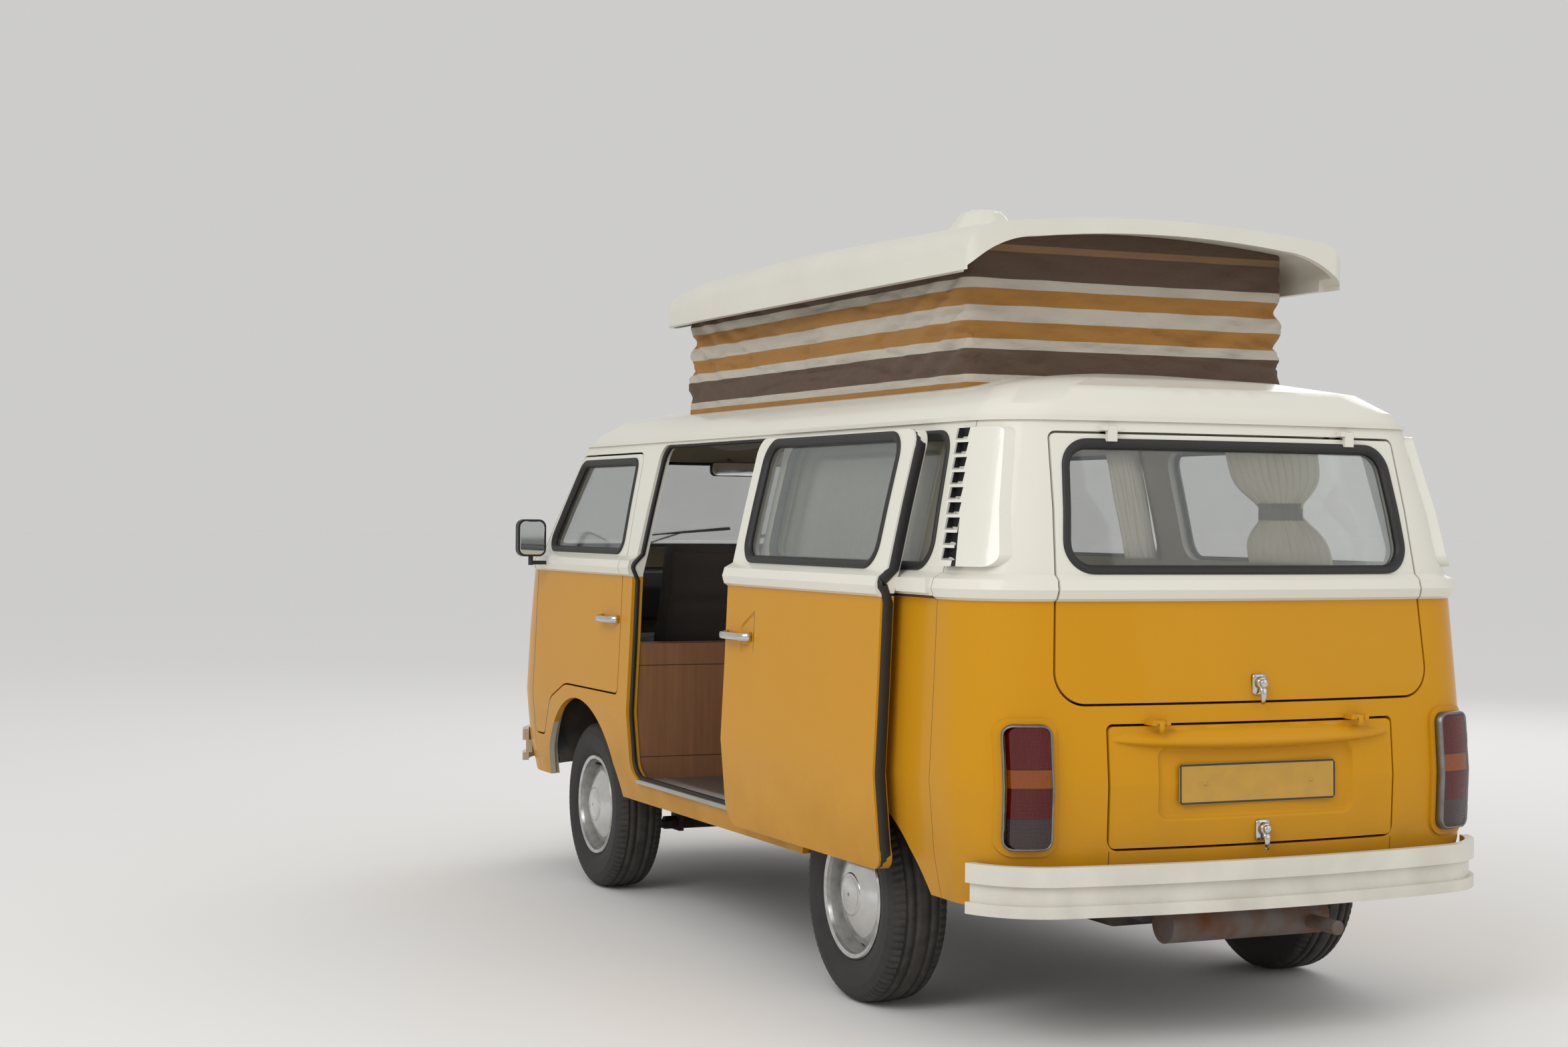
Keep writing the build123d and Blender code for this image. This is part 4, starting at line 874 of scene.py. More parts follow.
# Number plates, left blank: the rear one is yellow and the front one white, acrylic with a black
# border, each held by two capped screws.
PLATE_SIZE, PLATE_STEP, SCREW_Y = Vector((0.520, 0.113)), 0.02, 0.175
PLATE_LEVELS = ((-0.0015, 0), (0.0008, 0), (0.0015, 0.0007))
SCREW = [(0, 0.006), (0.0018, 0.0055), (0.0026, 0.003), (0.0026, 0.0001)]


def plate_finish(name, ground):
    """Acrylic in a ground colour, with a border drawn just inside the rim."""
    finish = Finish(name)
    across, over, _ = finish.parts(finish.node("TexCoord", output="UV"))
    side, rim = PLATE_SIZE.x / 2 - across.size(), PLATE_SIZE.y / 2 - over.size()
    border = ((side - 0.004).size() < 0.003) + ((rim - 0.004).size() < 0.003)
    inside = (side > 0.0009) * (rim > 0.0009)
    grime = finish.noise(22, 5)
    colour = finish.mix(grime * 0.35, ground, (0.10, 0.07, 0.04))
    return finish.surface(
        Base_Color=finish.mix((border * inside).clamped(), colour, (0.012, 0.012, 0.012)),
        Roughness=0.22 + grime * 0.3,
        Coat_Weight=0.5,
        bump=border,
        depth=0.0005,
    )


def plate(name, middle, out, over, ground, body):
    """A blank plate on its middle point, facing out, with over as its upright direction."""
    half = PLATE_SIZE / 2
    loop = rounded_loop(rounded_box(-half.x, -half.y, half.x, half.y, 0.010), PLATE_STEP)
    material, across = plate_finish(name, ground), over.cross(out)
    shape = stacked(loop, PLATE_LEVELS, middle, out, across, over)
    piece = make_piece(name, shape, material, body, smooth=False)
    layer = piece.data.uv_layers.new(name="place")
    for corner in piece.data.loops:
        spot = shape[0][corner.vertex_index] - middle
        layer.data[corner.index].uv = (spot.dot(across), spot.dot(over))
    for way, side in ((-1, "left"), (1, "right")):
        screw = turned(SCREW, middle + across * way * SCREW_Y + out * PLATE_LEVELS[-1][0], out, 16)
        make_piece(f"{name}_screw_{side}", screw, material, body)


upper, lower = (cast(lid_tree, (-4, 0.12, z), AHEAD) for z in (0.790, 0.665))
rear_over = (upper - lower).normalized()
rear_out = Vector((-rear_over.z, 0, rear_over.x))
rear_middle = Vector(((upper.x + lower.x) / 2, 0, 0.7275)) + rear_out * 0.006
plate("rear_plate", rear_middle, rear_out, rear_over, (0.56, 0.30, 0.015), "engine_lid")
bumper_face = cast(surface_tree("front_bumper"), (4, 0, 0.488), -AHEAD)
plate("front_plate", Vector((bumper_face.x + 0.022, 0, 0.488)), AHEAD, UP, (0.62, 0.61, 0.57), "van")

# Tyres: black radials with a ribbed tread. Wide grooves run round the tread, narrow slots cross its
# shoulders, and a rim guard stands on each side wall. They are dusty where they touched the road.
TREAD_BLOCKS, GROOVE, TWIST, SHOULDER = 84, 0.007, 0.018, 0.045
TYRE_STEPS = TREAD_BLOCKS * 4
TYRE_SECTION = [  # radius, distance from the middle, and how deep a shoulder slot is there
    (0.184, 0.060, 0), (0.184, 0.070, 0), (0.190, 0.0755, 0), (0.197, 0.0765, 0), (0.200, 0.0800, 0),
    (0.207, 0.0800, 0), (0.210, 0.0835, 0), (0.244, 0.0925, 0), (0.268, 0.0918, 0), (0.272, 0.0930, 0),
    (0.276, 0.0916, 0), (0.297, 0.0860, 0), (0.301, 0.0850, 0.4), (0.3085, 0.0800, 1), (0.3155, 0.0715, 1),
    (0.3190, 0.0590, 1), (0.3195, 0.0560, 0.2), (0.3130, 0.0545, 0), (0.3130, 0.0475, 0),
    (0.3205, 0.0460, 0.1), (0.3212, 0.0280, 0.1), (0.3145, 0.0265, 0), (0.3145, 0.0195, 0),
    (0.3218, 0.0180, 0), (0.3220, 0.0060, 0), (0.3220, 0.0000, 0),
]
WHEELS = ("front_left", "front_right", "rear_left", "rear_right")
hub_height = sum(end.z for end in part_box("rear_left_rim")) / 2


def wheel_radius(finish):
    """Distance from the wheel's own axle, in the material, for a front or a rear wheel."""
    along = finish.x - ((finish.x > 0) * (front_x - rear_x) + rear_x)
    return (along**2 + (finish.z - hub_height) ** 2) ** 0.5


rubber_black = Finish("tyre_rubber")
tyre_dust = rubber_black.noise(26, 5)
worn_tread = ((wheel_radius(rubber_black) - 0.300) * 60).clamped()
road_dust = (tyre_dust - 0.25).clamped() * (0.35 + worn_tread * 0.5)
tyre_rubber = rubber_black.surface(
    Base_Color=rubber_black.mix(road_dust, (0.017, 0.017, 0.018), (0.12, 0.095, 0.07)),
    Roughness=0.62 + tyre_dust * 0.25,
    bump=tyre_dust,
    depth=0.0006,
)


def tyre_shape(middle):
    """A tyre's section carried round its axle, with a slot in its shoulders at every fourth step."""
    section = TYRE_SECTION + [(radius, -offset, slot) for radius, offset, slot in reversed(TYRE_SECTION[:-1])]
    points = []
    for i in range(TYRE_STEPS):
        for radius, offset, slot in section:
            dip = 0 if (i + (2 if offset < 0 else 0)) % 4 else GROOVE * slot
            twist = TWIST * max(0, abs(offset) - SHOULDER) / 0.03 * (1 if offset > 0 else -1)
            turn, reach = tau * i / TYRE_STEPS + twist, radius - dip
            side = offset - (0.3 * dip if offset > 0.08 else 0)
            points.append(middle + Vector((reach * cos(turn), side, reach * sin(turn))))
    return points, grid_faces(TYRE_STEPS, len(section), close_rows=True, close_columns=True)


for wheel in WHEELS:
    low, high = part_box(f"{wheel}_tyre")
    shape = tyre_shape((low + high) / 2)
    tyre = make_piece(f"{wheel}_treaded_tyre", shape, tyre_rubber, f"{wheel}_wheel")
    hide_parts(f"{wheel}_tyre")

# Wheels: pressed steel, silver lacquer, with a bright outer lip and a chromed domed hub cap whose
# middle has a raised round with no mark on it.
CAP_RADIUS, LIP_RADIUS = 0.1315, 0.176
BOSS_RING = [(0.0, 0.066), (0.003, 0.064), (0.0045, 0.058), (0.0035, 0.051), (0.0, 0.049)]
VALVE_REACH, VALVE_TURN = 0.155, radians(75)
VALVE = [(0, 0.005), (0.018, 0.0042), (0.019, 0.0052), (0.030, 0.0050), (0.031, 0.0001)]
steel = Finish("wheel_steel")
rim_reach = wheel_radius(steel)
cap_zone, lip_zone = rim_reach < CAP_RADIUS, rim_reach > LIP_RADIUS
bright_zone = (cap_zone + lip_zone * 0.7).clamped()
steel_dust = steel.noise(30, 5)
brake_dust = (steel_dust - 0.35).clamped() * (1 - cap_zone * 0.7)
wheel_finish = steel.surface(
    Base_Color=steel.mix(brake_dust, steel.mix(bright_zone, (0.44, 0.44, 0.43), CHROME), (0.13, 0.10, 0.075)),
    Metallic=0.55 + bright_zone * 0.45,
    Roughness=0.36 - bright_zone * 0.26 + steel_dust * 0.12,
    bump=steel_dust,
    depth=0.0002,
)
for wheel in WHEELS:
    dress(wheel_finish, f"{wheel}_rim")
    side = 1 if "left" in wheel else -1
    rim_tree = surface_tree(f"{wheel}_rim")
    low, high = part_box(f"{wheel}_tyre")
    middle = (low + high) / 2
    dome = cast(rim_tree, (middle.x + 0.058, side * 1.5, middle.z), (0, -side, 0))
    shape = turned(BOSS_RING, (middle.x, dome.y - side * 0.002, middle.z), (0, side, 0), 48)
    make_piece(f"{wheel}_cap_ring", shape, chrome, f"{wheel}_wheel")
    x, z = middle.x + VALVE_REACH * cos(VALVE_TURN), middle.z + VALVE_REACH * sin(VALVE_TURN)
    seat = cast(rim_tree, (x, side * 1.5, z), (0, -side, 0))
    shape = turned(VALVE, seat - Vector((0, side * 0.003, 0)), (0, side, 0.25), 12)
    make_piece(f"{wheel}_valve", shape, window_rubber, f"{wheel}_wheel")

# Underside: axle tubes, arms, knuckles and wheel housings, of pressed and welded steel in black
# under-seal, with dried mud thrown by the wheels.
MUD = dict(share=2.0, start=0.38, rough=0.80, depth=0.0025, fine=(90, 3))
under_seal = worn("under_seal", (7, 6), (0.022, 0.021, 0.020), (0.14, 0.105, 0.07), **MUD)
dress(under_seal, "front_wheel_housings", "front_axle", "rear_axle", "left_knuckle", "right_knuckle")

# Engine and silencer: a block cast in light alloy, oily and sooted, and a silencer rolled from
# aluminised steel, browned by heat. Both hang under the tail.
SOOT = dict(rough=0.45, rougher=0.35, depth=0.0012, fine=(120, 2), Metallic=0.7)
dress(worn("engine_casting", (8, 6), (0.20, 0.195, 0.185), (0.035, 0.028, 0.022), **SOOT), "engine")
RUST = dict(share=2.2, start=0.3, rough=0.45, rougher=0.4, depth=0.0010, Metallic=0.6)
dress(worn("silencer_steel", (11, 7), (0.15, 0.145, 0.14), (0.15, 0.062, 0.028), **RUST), "exhaust")

# Floor of the load space: plywood under a brown ribbed sheet, laid on the pressed steel floor,
# which is sealed black below.
FLOOR_TOP = 0.470
sheeting = Finish("floor_sheeting")
tread_dirt = sheeting.noise(6, 6)
floor_colour = sheeting.mix(tread_dirt * 0.7, (0.085, 0.055, 0.038), (0.17, 0.13, 0.09))
floor_sheet = sheeting.surface(
    Base_Color=sheeting.mix(sheeting.z > FLOOR_TOP, (0.024, 0.022, 0.020), floor_colour),
    Roughness=0.58 + tread_dirt * 0.2,
    bump=(sheeting.y * 900).wave().size(),
    depth=0.0012,
)
dress(floor_sheet, "floor")

# Sill of the side opening: an aluminium tread, drawn as one strip with five ribs and screwed down
# over the rubber.
SILL_SECTION = [(0.700, 0.4825), (0.726, 0.4835), (0.730, 0.4885), (0.738, 0.4885), (0.741, 0.4862)]
for i in range(5):
    rib = 0.744 + i * 0.013
    SILL_SECTION += [(rib, 0.4862), (rib + 0.002, 0.4882), (rib + 0.006, 0.4882), (rib + 0.008, 0.4862)]
SILL_SECTION += [(0.822, 0.4862), (0.836, 0.4880), (0.843, 0.4868), (0.846, 0.4800), (0.8445, 0.4730)]
SILL_FROM, SILL_TO, SILL_ROWS = slide_rear + 0.072, slide_front - 0.072, 13
SCUFF = dict(share=0.5, rough=0.24, rougher=0.3, Metallic=1.0)
sill_metal = worn("sill_aluminium", (14, 5, (0.3, 6, 1)), (0.58, 0.58, 0.57), (0.26, 0.25, 0.23), **SCUFF)
rows = [SILL_FROM + (SILL_TO - SILL_FROM) * i / (SILL_ROWS - 1) for i in range(SILL_ROWS)]
shape = [Vector((x, y, z)) for x in rows for y, z in SILL_SECTION], grid_faces(SILL_ROWS, len(SILL_SECTION))
sill = make_piece("sill_tread", shape, sill_metal, smooth=False)
thick = sill.modifiers.new("thickness", "SOLIDIFY")
thick.thickness, thick.offset = 0.0012, -1

# Seats, bench and mattress: foam blocks in sewn covers. Each cover is crowned, is pulled in between
# its corners, has a piped seam round both faces and sewn channels across the top.
CUSHION_STEP, PIPE_RADIUS, PIPE_SIDES, SEAM_STEPS, CHANNEL_WIDTH = 0.022, 0.0042, 8, 24, 0.009
SEAT_VINYL, BENCH_CLOTH = (0.030, 0.024, 0.020), (0.165, 0.075, 0.030)
SEAT_LEAN, SEAT_Y, SIDE_GAP = -17, 0.400, 0.012


def bell(distance):
    """1 at no distance, falling away to nothing past 2."""
    return 2.718 ** -(distance**2)


def padding(size, rounding, crown, pull, channels, dent):
    """A function that takes a point of the cube from -1 to 1 to its place on the cushion's cover."""
    half = size / 2

    def shape(u):
        spot = Vector((u.x * half.x, u.y * half.y, u.z * half.z))
        core = Vector([max(-h + rounding, min(h - rounding, c)) for c, h in zip(spot, half)])
        edge = spot - core
        if edge.length > 1e-7:
            spot = core + edge.normalized() * rounding
        field = (1 - u.x**2) * (1 - u.y**2)
        spot.z += u.z * crown * field
        spot.x -= u.x * pull * (1 - u.y**2)
        spot.y -= u.y * pull * (1 - u.x**2)
        for line in channels:
            spot.z -= u.z * dent * bell((u.x - line) * half.x / CHANNEL_WIDTH) * min(1, (1 - abs(u.y)) * 8)
        wrinkle = noise.noise(Vector((u.x * half.x, u.y * half.y, u.z * half.z)) * 9)
        return spot + UP * wrinkle * 0.0035 * field

    return shape


def cushion(size, place, rounding=0.032, crown=0.018, pull=0.010, channels=(), dent=0.009):
    """Points and faces of a stuffed cover, with its piping, set by a matrix."""
    shape = padding(size, rounding, crown, pull, channels, dent)
    mesh = bmesh.new()
    counts = [max(5, ceil(side / CUSHION_STEP)) for side in size]
    for axis in range(3):
        a, b = (axis + 1) % 3, (axis + 2) % 3
        for sign in (-1, 1):
            rows = []
            for i in range(counts[a] + 1):
                rows.append([])
                for j in range(counts[b] + 1):
                    u = Vector((0, 0, 0))
                    u[axis], u[a], u[b] = sign, 2 * i / counts[a] - 1, 2 * j / counts[b] - 1
                    rows[i].append(mesh.verts.new(shape(u)))
            for i in range(counts[a]):
                for j in range(counts[b]):
                    mesh.faces.new((rows[i][j], rows[i + 1][j], rows[i + 1][j + 1], rows[i][j + 1]))
    bmesh.ops.remove_doubles(mesh, verts=mesh.verts, dist=0.00005)
    mesh.verts.index_update()
    faces = [tuple(corner.index for corner in face.verts) for face in mesh.faces]
    shapes = [([place @ corner.co for corner in mesh.verts], faces)]
    mesh.free()
    ring = [(1 - 2 * i / SEAM_STEPS, 1) for i in range(SEAM_STEPS)]
    ring += [(-1, 1 - 2 * i / SEAM_STEPS) for i in range(SEAM_STEPS)]
    ring += [(-a, -b) for a, b in ring]
    turn = place.to_3x3()
    for level in (-1, 1):
        spots = [place @ shape(Vector((a, b, level))) for a, b in ring]
        ways = [turn @ Vector((a, b, 0.8 * level)).normalized() for a, b in ring]
        shapes.append(strip(list(zip(spots, ways)), oval(2 * PIPE_RADIUS, 2 * PIPE_RADIUS, PIPE_SIDES)))
    return joined(*shapes)


def upholstery(name, colour, scale, sheen):
    """A cover cloth or leather-cloth: a fine weave or grain in the bump, faded where it is rubbed."""
    finish = Finish(name)
    weave = ((finish.x * scale).wave() * (finish.y * scale).wave() + (finish.z * scale).wave() * 0.5).size()
    rubbed = finish.noise(5, 5)
    return finish.surface(
        Base_Color=finish.mix(rubbed * 0.5, colour, tuple(min(1, c * 1.9 + 0.01) for c in colour)),
        Roughness=0.55 + rubbed * 0.25,
        Sheen_Weight=sheen,
        bump=weave + finish.noise(240, 3),
        depth=0.0005,
    )


def pad(name, node, cover, fill, size, place, lean=0, **cut):
    """A cushion in the place of a CAD node, leaned back about its middle."""
    matrix = Matrix.Translation(place) @ Matrix.Rotation(radians(lean), 4, "Y")
    piece = make_piece(name, cushion(Vector(size), matrix, **cut), cover)
    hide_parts(node)


seat_cover = upholstery("seat_leathercloth", SEAT_VINYL, 2600, 0.05)
bench_cover = upholstery("bench_cloth", BENCH_CLOTH, 1500, 0.3)
seat_foot, seat_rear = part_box("seat_boxes")[1].z, front_x - 0.250
SEAT_CUT = dict(channels=(-0.55, -0.1, 0.35), crown=0.016)
BACK_CUT = dict(rounding=0.046, channels=(-0.45, 0.0, 0.45), crown=0.014)
for side, name in SIDES:
    place = (seat_rear + 0.222, side * SEAT_Y, seat_foot + 0.064)
    pad(f"{name}_seat_cushion", "front_seats", seat_cover, 0.8, (0.470, 0.480, 0.112), place, -3, **SEAT_CUT)
    place, lean = (seat_rear - 0.055, side * SEAT_Y, 1.145), 90 + SEAT_LEAN
    pad(f"{name}_seat_back", "front_seats", seat_cover, 0.8, (0.430, 0.470, 0.096), place, lean, **BACK_CUT)
bench_low, bench_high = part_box("bench_cushions")
bench_size, bench_mid = bench_high - bench_low, (bench_low + bench_high) / 2
size = (bench_size.x - SIDE_GAP, bench_size.y - SIDE_GAP, 0.104)
place = (bench_mid.x + 0.002, bench_mid.y, bench_low.z + 0.056)
pad("bench_seat_cushion", "bench_cushions", bench_cover, 0.75, size, place, channels=(-0.4, 0.4))
size = (0.405, bench_size.y - SIDE_GAP, 0.090)
place = (bench_low.x + 0.053, bench_mid.y, bench_low.z + 0.325)
pad("bench_back_cushion", "bench_cushions", bench_cover, 0.75, size, place, 90, crown=0.012, channels=(0.0,))
bed_low, bed_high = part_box("rear_mattress")
size, place = bed_high - bed_low - Vector([SIDE_GAP] * 3), (bed_low + bed_high) / 2
pad("mattress_pad", "rear_mattress", bench_cover, 0.7, size, place, crown=0.010, channels=(-0.5, 0.0, 0.5))

# Curtains: unlined cotton hung from sprung wires. One is drawn flat across the sliding door's
# window, one is pleated, one is pushed to the end of its wire and one is tied back.
CURTAIN_STEP, CURTAIN_ROWS = 0.0075, 34
DOOR_FROM, DOOR_TO = slide_rear + 0.078 - slide_back, slide_front - 0.074 - slide_back
CURTAINS = [
    # name, x from, x to, side, y shift, pleats, pleat depth, tied
    ("sliding_door_curtain", DOOR_FROM, DOOR_TO, 1, 0.075, 13, 0.004, 0),
    ("left_quarter_curtain", rear_x - 0.520, slide_rear - 0.060, 1, 0, 17, 0.013, 0),
    ("right_side_curtain", slide_rear + 0.080, slide_rear + 0.300, -1, 0, 11, 0.014, 0),
    ("right_quarter_curtain", rear_x - 0.270, rear_x + 0.240, -1, 0, 12, 0.014, 1),
]
TIE_SHARE, TIE_HEIGHT, TIE_ROOM = 0.44, 0.055, 0.004
cotton = Finish("curtain_cotton")
threads = ((cotton.x * 2800).wave() * (cotton.z * 2800).wave()).size()
creases_and_shade = cotton.noise(12, 4, stretch=(3, 3, 0.5))
curtain_cotton = cotton.surface(
    # the cloth is painted darker where the crease noise is high, as shade in the creases
    Base_Color=cotton.mix(creases_and_shade * 0.35, (0.70, 0.65, 0.54), (0.50, 0.42, 0.30)),
    Roughness=0.85,
    Subsurface_Weight=0.7,
    Subsurface_Radius=(1.0, 0.95, 0.85),
    Subsurface_Scale=0.006,
    bump=threads * 0.4 + creases_and_shade,
    depth=0.0008,
)
wire_steel = Finish("curtain_wire_steel")
wire_steel = wire_steel.surface(Base_Color=(0.55, 0.55, 0.52), Metallic=1.0, Roughness=0.35)
curtain_low, curtain_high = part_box("curtains")
curtain_tree = surface_tree("curtains")
top, foot = curtain_high.z - 0.003, curtain_low.z + 0.004
for name, low_x, high_x, side, shift, pleats, fold, tied in CURTAINS:
    columns = max(24, ceil((high_x - low_x) / CURTAIN_STEP))
    middle_x = (low_x + high_x) / 2
    points = []
    for i in range(CURTAIN_ROWS):
        share = i / (CURTAIN_ROWS - 1)
        z = foot + (top - foot) * share
        start, miss = (middle_x, side * (0.72 + shift) * 0.5, z), (middle_x, side * 0.7, z)
        back = cast(curtain_tree, start, (0, side, 0), miss).y
        narrow = 1 - 0.50 * tied * bell((share - TIE_SHARE) / 0.17) - 0.1 * tied * (1 - share)
        for j in range(columns):
            along = j / (columns - 1)
            x = middle_x + (high_x - low_x) * (along - 0.5) * narrow
            phase = 1.3 * noise.noise(Vector((along * 5, share * 2, pleats)))
            depth = fold * (0.5 + 0.5 * sin(tau * pleats * along + phase)) * (0.55 + 0.45 * (1 - share))
            sway = noise.noise(Vector((along * 6, share * 3, 4.2))) * 0.003
            points.append(Vector((x, back + side * 0.007 - side * (depth + sway + 0.003), z)))
    shape = points, grid_faces(CURTAIN_ROWS, columns)
    cloth = make_piece(name, shape, curtain_cotton)
    cloth.modifiers.new("hem", "SOLIDIFY").thickness = 0.0009
    if tied:
        waist = foot + (top - foot) * TIE_SHARE
        reach = (high_x - low_x) / 2 * (0.5 - 0.1 * (1 - TIE_SHARE)) + TIE_ROOM
        row = round(TIE_SHARE * (CURTAIN_ROWS - 1)) * columns
        depths = [abs(point.y) for point in points[row : row + columns]]
        inner_y, outer_y = side * (min(depths) - 0.003), side * (max(depths) + 0.003)
        loop = rounded_loop(rounded_box(middle_x - reach, inner_y, middle_x + reach, outer_y, 0.010), 0.006)
        rises = (-TIE_HEIGHT / 2, 0, TIE_HEIGHT / 2)
        band = [Vector((spot.x, spot.y, waist + rise)) for rise in rises for spot in loop]
        shape = band, grid_faces(3, len(loop), close_columns=True)
        tie = make_piece(f"{name}_tie", shape, curtain_cotton)
        tie.modifiers.new("hem", "SOLIDIFY").thickness = 0.0012
    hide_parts("curtains")
    ends = [Vector((x, points[-1].y, top + 0.002)) for x in (low_x - 0.02, high_x + 0.02)]
    make_piece(f"{name}_wire", swept(ends, [oval(0.004, 0.004, 8)] * 2, UP), wire_steel)

# Camper cabinets: board faced with a printed wood grain under clear melamine, with dark gaps round
# each door and small turned knobs. The bench, the seat boxes and the deck over the engine are of
# the same board.
GAP_HALF, CABINET_REAR, CABINET_STEP = 0.0016, slide_rear + 0.029, 0.242
KNOB = [(0, 0.007), (0.010, 0.006), (0.013, 0.012), (0.019, 0.012), (0.022, 0.009), (0.022, 0.0001)]
board = Finish("cabinet_board")
grain = board.noise(7, 5, stretch=(9, 9, 0.5))
pores = board.noise(240, 3, stretch=(1, 1, 0.06))
panel = board.mix(grain * 0.7 + pores * 0.2, (0.33, 0.160, 0.078), (0.155, 0.066, 0.028))
door_gap = ((board.z - 0.560).size() < GAP_HALF) + ((board.z - 0.900).size() < GAP_HALF)
for gap_x in [CABINET_REAR + CABINET_STEP * i for i in range(1, 4)] + [front_x - 0.486]:
    door_gap = door_gap + ((board.x - gap_x).size() < GAP_HALF)
door_gap = door_gap.clamped()
cabinet_board = board.surface(
    Base_Color=board.mix(door_gap * 0.85, panel, (0.015, 0.010, 0.007)),
    Roughness=0.36 + pores * 0.15,
    Coat_Weight=0.25,
    bump=0 - door_gap - grain * 0.05,
    depth=0.0018,
)
dress(cabinet_board, "cabinets", "bench_base", "engine_deck", "seat_boxes")
knob_tree = surface_tree("cabinets")
for i in range(4):
    for z in (0.740, 0.520):
        face = cast(knob_tree, (CABINET_REAR + CABINET_STEP * i + 0.040, 0, z), -LEFT)
        if face:
            name = f"cabinet_knob_{i + 1}_{round(z * 1000)}"
            make_piece(name, turned(KNOB, face, LEFT, 20), chrome)

# Dashboard, column and steering wheel: pressed steel in black crackle paint with padded vinyl over
# it, and hard plastic moulded round the wheel's rim.
MOULDED = dict(rough=0.45, rougher=0.2, depth=0.0004)
black_moulding = worn("black_moulding", (320, 3), (0.020, 0.019, 0.018), **MOULDED)
dress(black_moulding, "dashboard", "steering_column", "steering_wheel")

# Runners of the sliding door: a rail let into the belt under a white cover, and greased steel arms
# that carry the door along it.
runner = Finish("runner_steel")
cover_zone = (runner.y < 0.8685) * ((runner.z - 1.266).size() < 0.0205) * (runner.x < slide_rear - 0.003)
grease = runner.noise(25, 4)
runner_steel = runner.surface(
    Base_Color=runner.mix(cover_zone, runner.mix(grease, (0.05, 0.05, 0.05), (0.02, 0.015, 0.01)), WHITE),
    Metallic=0.7 - cover_zone * 0.7,
    Roughness=0.30 + grease * 0.15,
    bump=grease,
    depth=0.0003,
)
dress(runner_steel, "sliding_door_runners")

# Mirrors: black heads on chromed stalks outside, and one on a stalk over the windscreen. The glass
# of each is silvered, in a thin bezel.
STALK_OUT, HEAD_BLACK, STALK_BRIGHT = 0.862, (0.020, 0.020, 0.020), (0.62, 0.62, 0.60)
MIRROR_GLASS = rounded_box(-0.051, -0.067, 0.051, 0.067, 0.024)
CAB_MIRROR = rounded_box(-0.110, -0.030, 0.110, 0.030, 0.022)
CAB_GLASS = [(a * 0.96, b * 0.9, r * 0.9) for a, b, r in CAB_MIRROR]
mirror = Finish("mirror_head")
stalk_zone = mirror.y.size() < STALK_OUT
head_grain = mirror.noise(260, 2)
mirror_finish = mirror.surface(
    Base_Color=mirror.mix(stalk_zone, HEAD_BLACK, STALK_BRIGHT),
    Metallic=stalk_zone,
    Roughness=0.42 - stalk_zone * 0.25 + head_grain * 0.1,
    bump=head_grain,
    depth=0.0003,
)
silvered = worn("mirror_silver", (20, 3), (0.82, 0.84, 0.84), rough=0.02, rougher=0.04, Metallic=1.0)
for side, name in SIDES:
    dress(mirror_finish, f"{name}_mirror")
    middle = Vector((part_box(f"{name}_mirror")[0].x - 0.0005, side * 0.925, 1.362))
    shape = slab(MIRROR_GLASS, middle, -AHEAD, 0.002)
    make_piece(f"{name}_mirror_glass", shape, silvered, f"{name}_cab_door", smooth=False)
header = cast(surface_tree("front_panel"), (1.0, 0, 1.700), AHEAD)
middle = Vector((header.x - 0.075, 0, 1.655))
shape = slab(CAB_MIRROR, middle, AHEAD, 0.018)
make_piece("cab_mirror_case", shape, black_moulding, smooth=False)
make_piece("cab_mirror_glass", slab(CAB_GLASS, middle, -AHEAD, 0.0015), silvered, smooth=False)
stalk = [middle + Vector((0.016, 0, 0.005)), middle + Vector((0.045, 0, 0.040)), header + AHEAD * 0.002]
make_piece("cab_mirror_stalk", swept(stalk, [oval(0.008, 0.008, 10)] * 3, LEFT), chrome)

# Windscreen wipers, parked: sprung steel arms on driven spindles, each with a rubber blade that
# lies on the glass.
WIPERS = (("left", 0.300), ("right", -0.260))
ARM_REACH, ARM_Z, ARM_RISE = 0.24, 1.305, 0.085
BLADE_REACH, BLADE_Z, BLADE_RISE = 0.42, 1.368, 0.035
SPINDLE = [(-0.030, 0.010), (0.004, 0.012), (0.010, 0.009), (0.010, 0.0001)]
nose_tree = surface_tree("front_panel", "windscreen")
for name, foot_y in WIPERS:
    route = []
    for share in (0, 0.12, 0.35, 0.6, 0.85, 1.0):
        y, z = foot_y - ARM_REACH * share, ARM_Z + ARM_RISE * share
        lift = 0.026 if share < 0.1 else 0.020 + 0.012 * sin(pi * share)
        route.append(cast(nose_tree, (4, y, z), -AHEAD, (2.1, y, z)) + AHEAD * lift)
    arm = swept(route, [oval(0.010, 0.014, 10)] + [oval(0.006, 0.009, 10)] * 5, UP)
    shape = joined(arm, turned(SPINDLE, route[0], (1, 0, 0.2), 16))
    make_piece(f"{name}_wiper_arm", shape, chrome)
    blade = []
    for i in range(15):
        y, z = foot_y - (0.02 + BLADE_REACH * i / 14), BLADE_Z + BLADE_RISE * i / 14
        blade.append(cast(nose_tree, (4, y, z), -AHEAD, (2.0, y, z)) + AHEAD * 0.009)
    shape = swept(blade, [oval(0.016, 0.007, 8)] * 15, LEFT)
    make_piece(f"{name}_wiper_blade", shape, window_rubber)

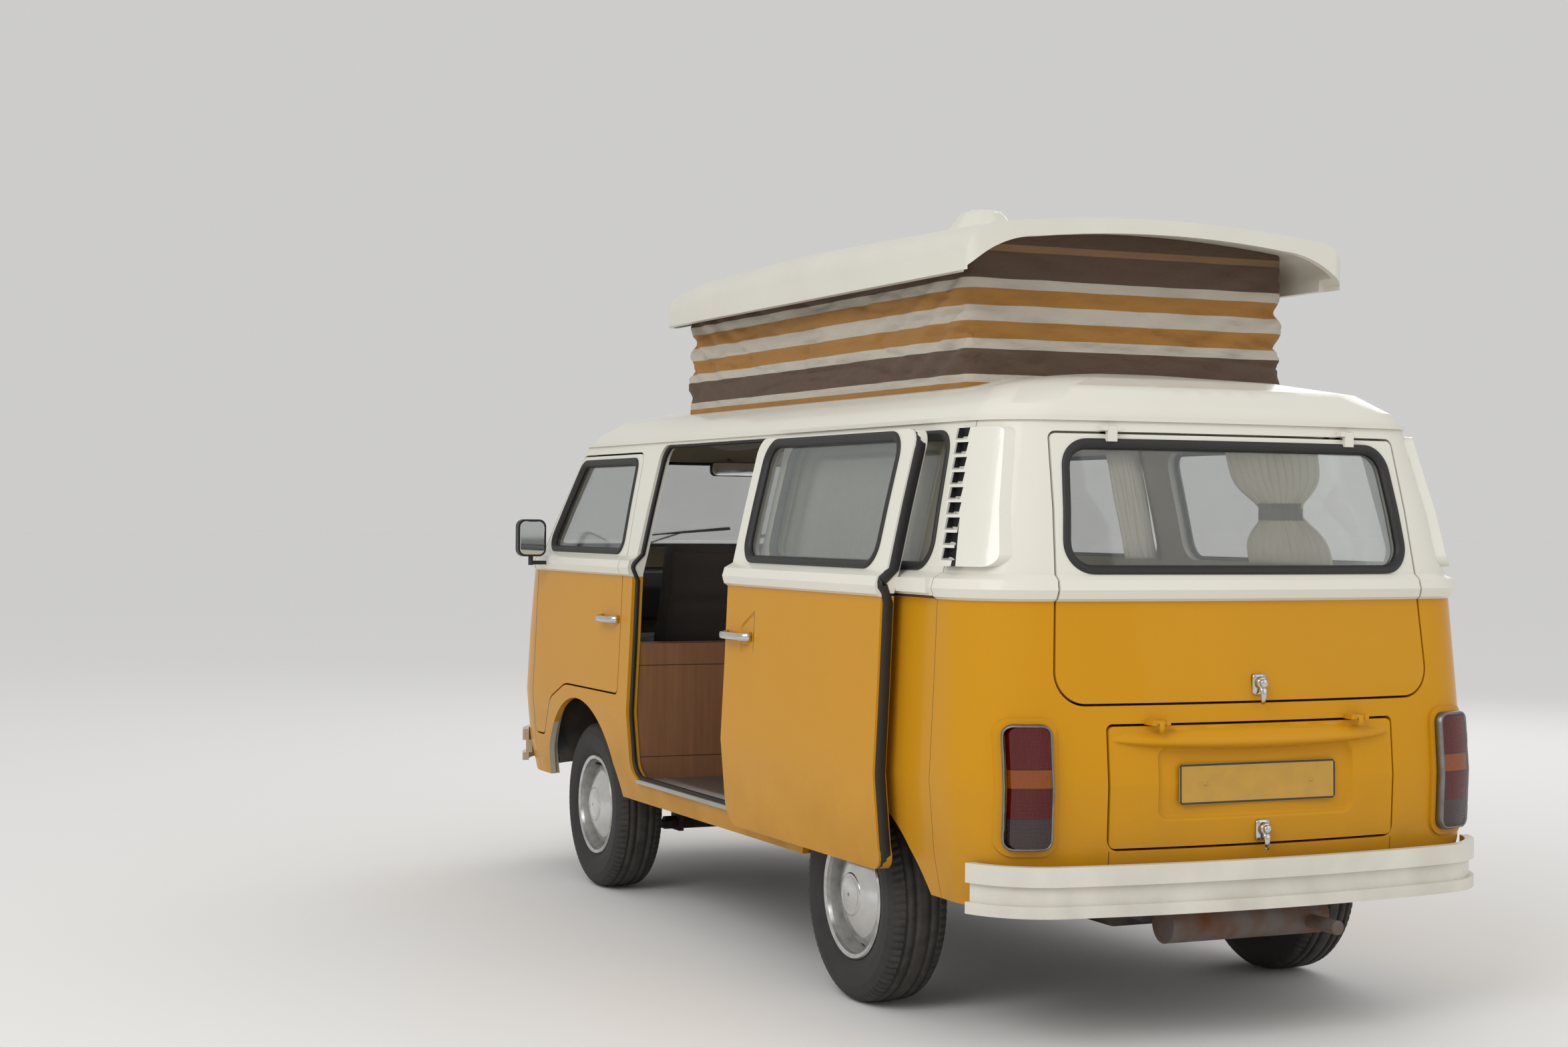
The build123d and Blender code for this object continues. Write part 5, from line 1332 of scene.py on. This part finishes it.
# Studio: a plain pale floor. The world lights the van evenly, and is the floor's own tone where the
# camera, gloss or glass looks at it.
FLOOR_COLOUR = (0.78, 0.775, 0.76)
WORLD_LIGHT = 0.78
bpy.ops.mesh.primitive_plane_add(size=400)
studio_floor = bpy.context.object
studio_floor.name = "studio_floor"
studio_floor.data.materials.append(Finish("floor_finish").surface(Base_Color=FLOOR_COLOUR, Roughness=0.85))
studio_floor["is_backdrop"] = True
world = bpy.data.worlds.new("studio")
bpy.context.scene.world = world
world.use_nodes = True
sky, links = world.node_tree.nodes, world.node_tree.links
rays, seen = sky.new("ShaderNodeLightPath"), None
for way in ("Camera", "Glossy", "Transmission"):
    last, seen = seen, sky.new("ShaderNodeMath")
    seen.operation, seen.use_clamp = "ADD", True
    seen.inputs[1].default_value = 0
    links.new(rays.outputs[f"Is {way} Ray"], seen.inputs[0])
    if last:
        links.new(last.outputs[0], seen.inputs[1])
tone = sky.new("ShaderNodeMix")
tone.data_type = "RGBA"
tone.inputs[6].default_value = (WORLD_LIGHT, WORLD_LIGHT, WORLD_LIGHT, 1)
tone.inputs[7].default_value = (*(WORLD_LIGHT * channel for channel in FLOOR_COLOUR), 1)
links.new(seen.outputs[0], tone.inputs[0])
links.new(tone.outputs[2], sky["Background"].inputs["Color"])

# Lamps and camera: three wide soft lamps, the strongest high on the van's left, and the camera at
# the photograph's own place and angle, with its focal length.
LAMPS = {
    # place, size, power
    "key": ((-6.5, 8.0, 7.5), 5.5, 430),
    "fill": ((-9.0, -6.0, 5.0), 7.0, 90),
    "rim": ((6.5, -6.5, 6.5), 6.0, 170),
}
LAMP_AIM = Vector((0, 0, 1.1))
for name, (place, size, power) in LAMPS.items():
    lamp = bpy.data.lights.new(name, "AREA")
    lamp.size, lamp.energy = size, power
    holder = bpy.data.objects.new(name, lamp)
    holder.location = place
    holder.rotation_euler = (LAMP_AIM - Vector(place)).to_track_quat("-Z", "Y").to_euler()
    bpy.context.scene.collection.objects.link(holder)
CAMERA_PLACE = Vector((-7.725, 3.914, 1.449))
YAW, PITCH, ROLL = radians(-23.88), radians(-0.12), radians(0.48)
SENSOR_WIDTH, LENS = 36, 54.97
forward = Vector((cos(PITCH) * cos(YAW), cos(PITCH) * sin(YAW), sin(PITCH)))
level = Vector((sin(YAW), -cos(YAW), 0))
upright = level.cross(forward)
across, up = cos(ROLL) * level + sin(ROLL) * upright, cos(ROLL) * upright - sin(ROLL) * level
camera = bpy.data.cameras.new("camera")
camera.sensor_width, camera.lens = SENSOR_WIDTH, LENS
holder = bpy.data.objects.new("camera", camera)
holder.matrix_world = Matrix.Translation(CAMERA_PLACE) @ Matrix((across, up, -forward)).transposed().to_4x4()
bpy.context.scene.collection.objects.link(holder)
bpy.context.scene.camera = holder
bpy.context.scene.view_settings.view_transform = "Standard"

low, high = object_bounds()
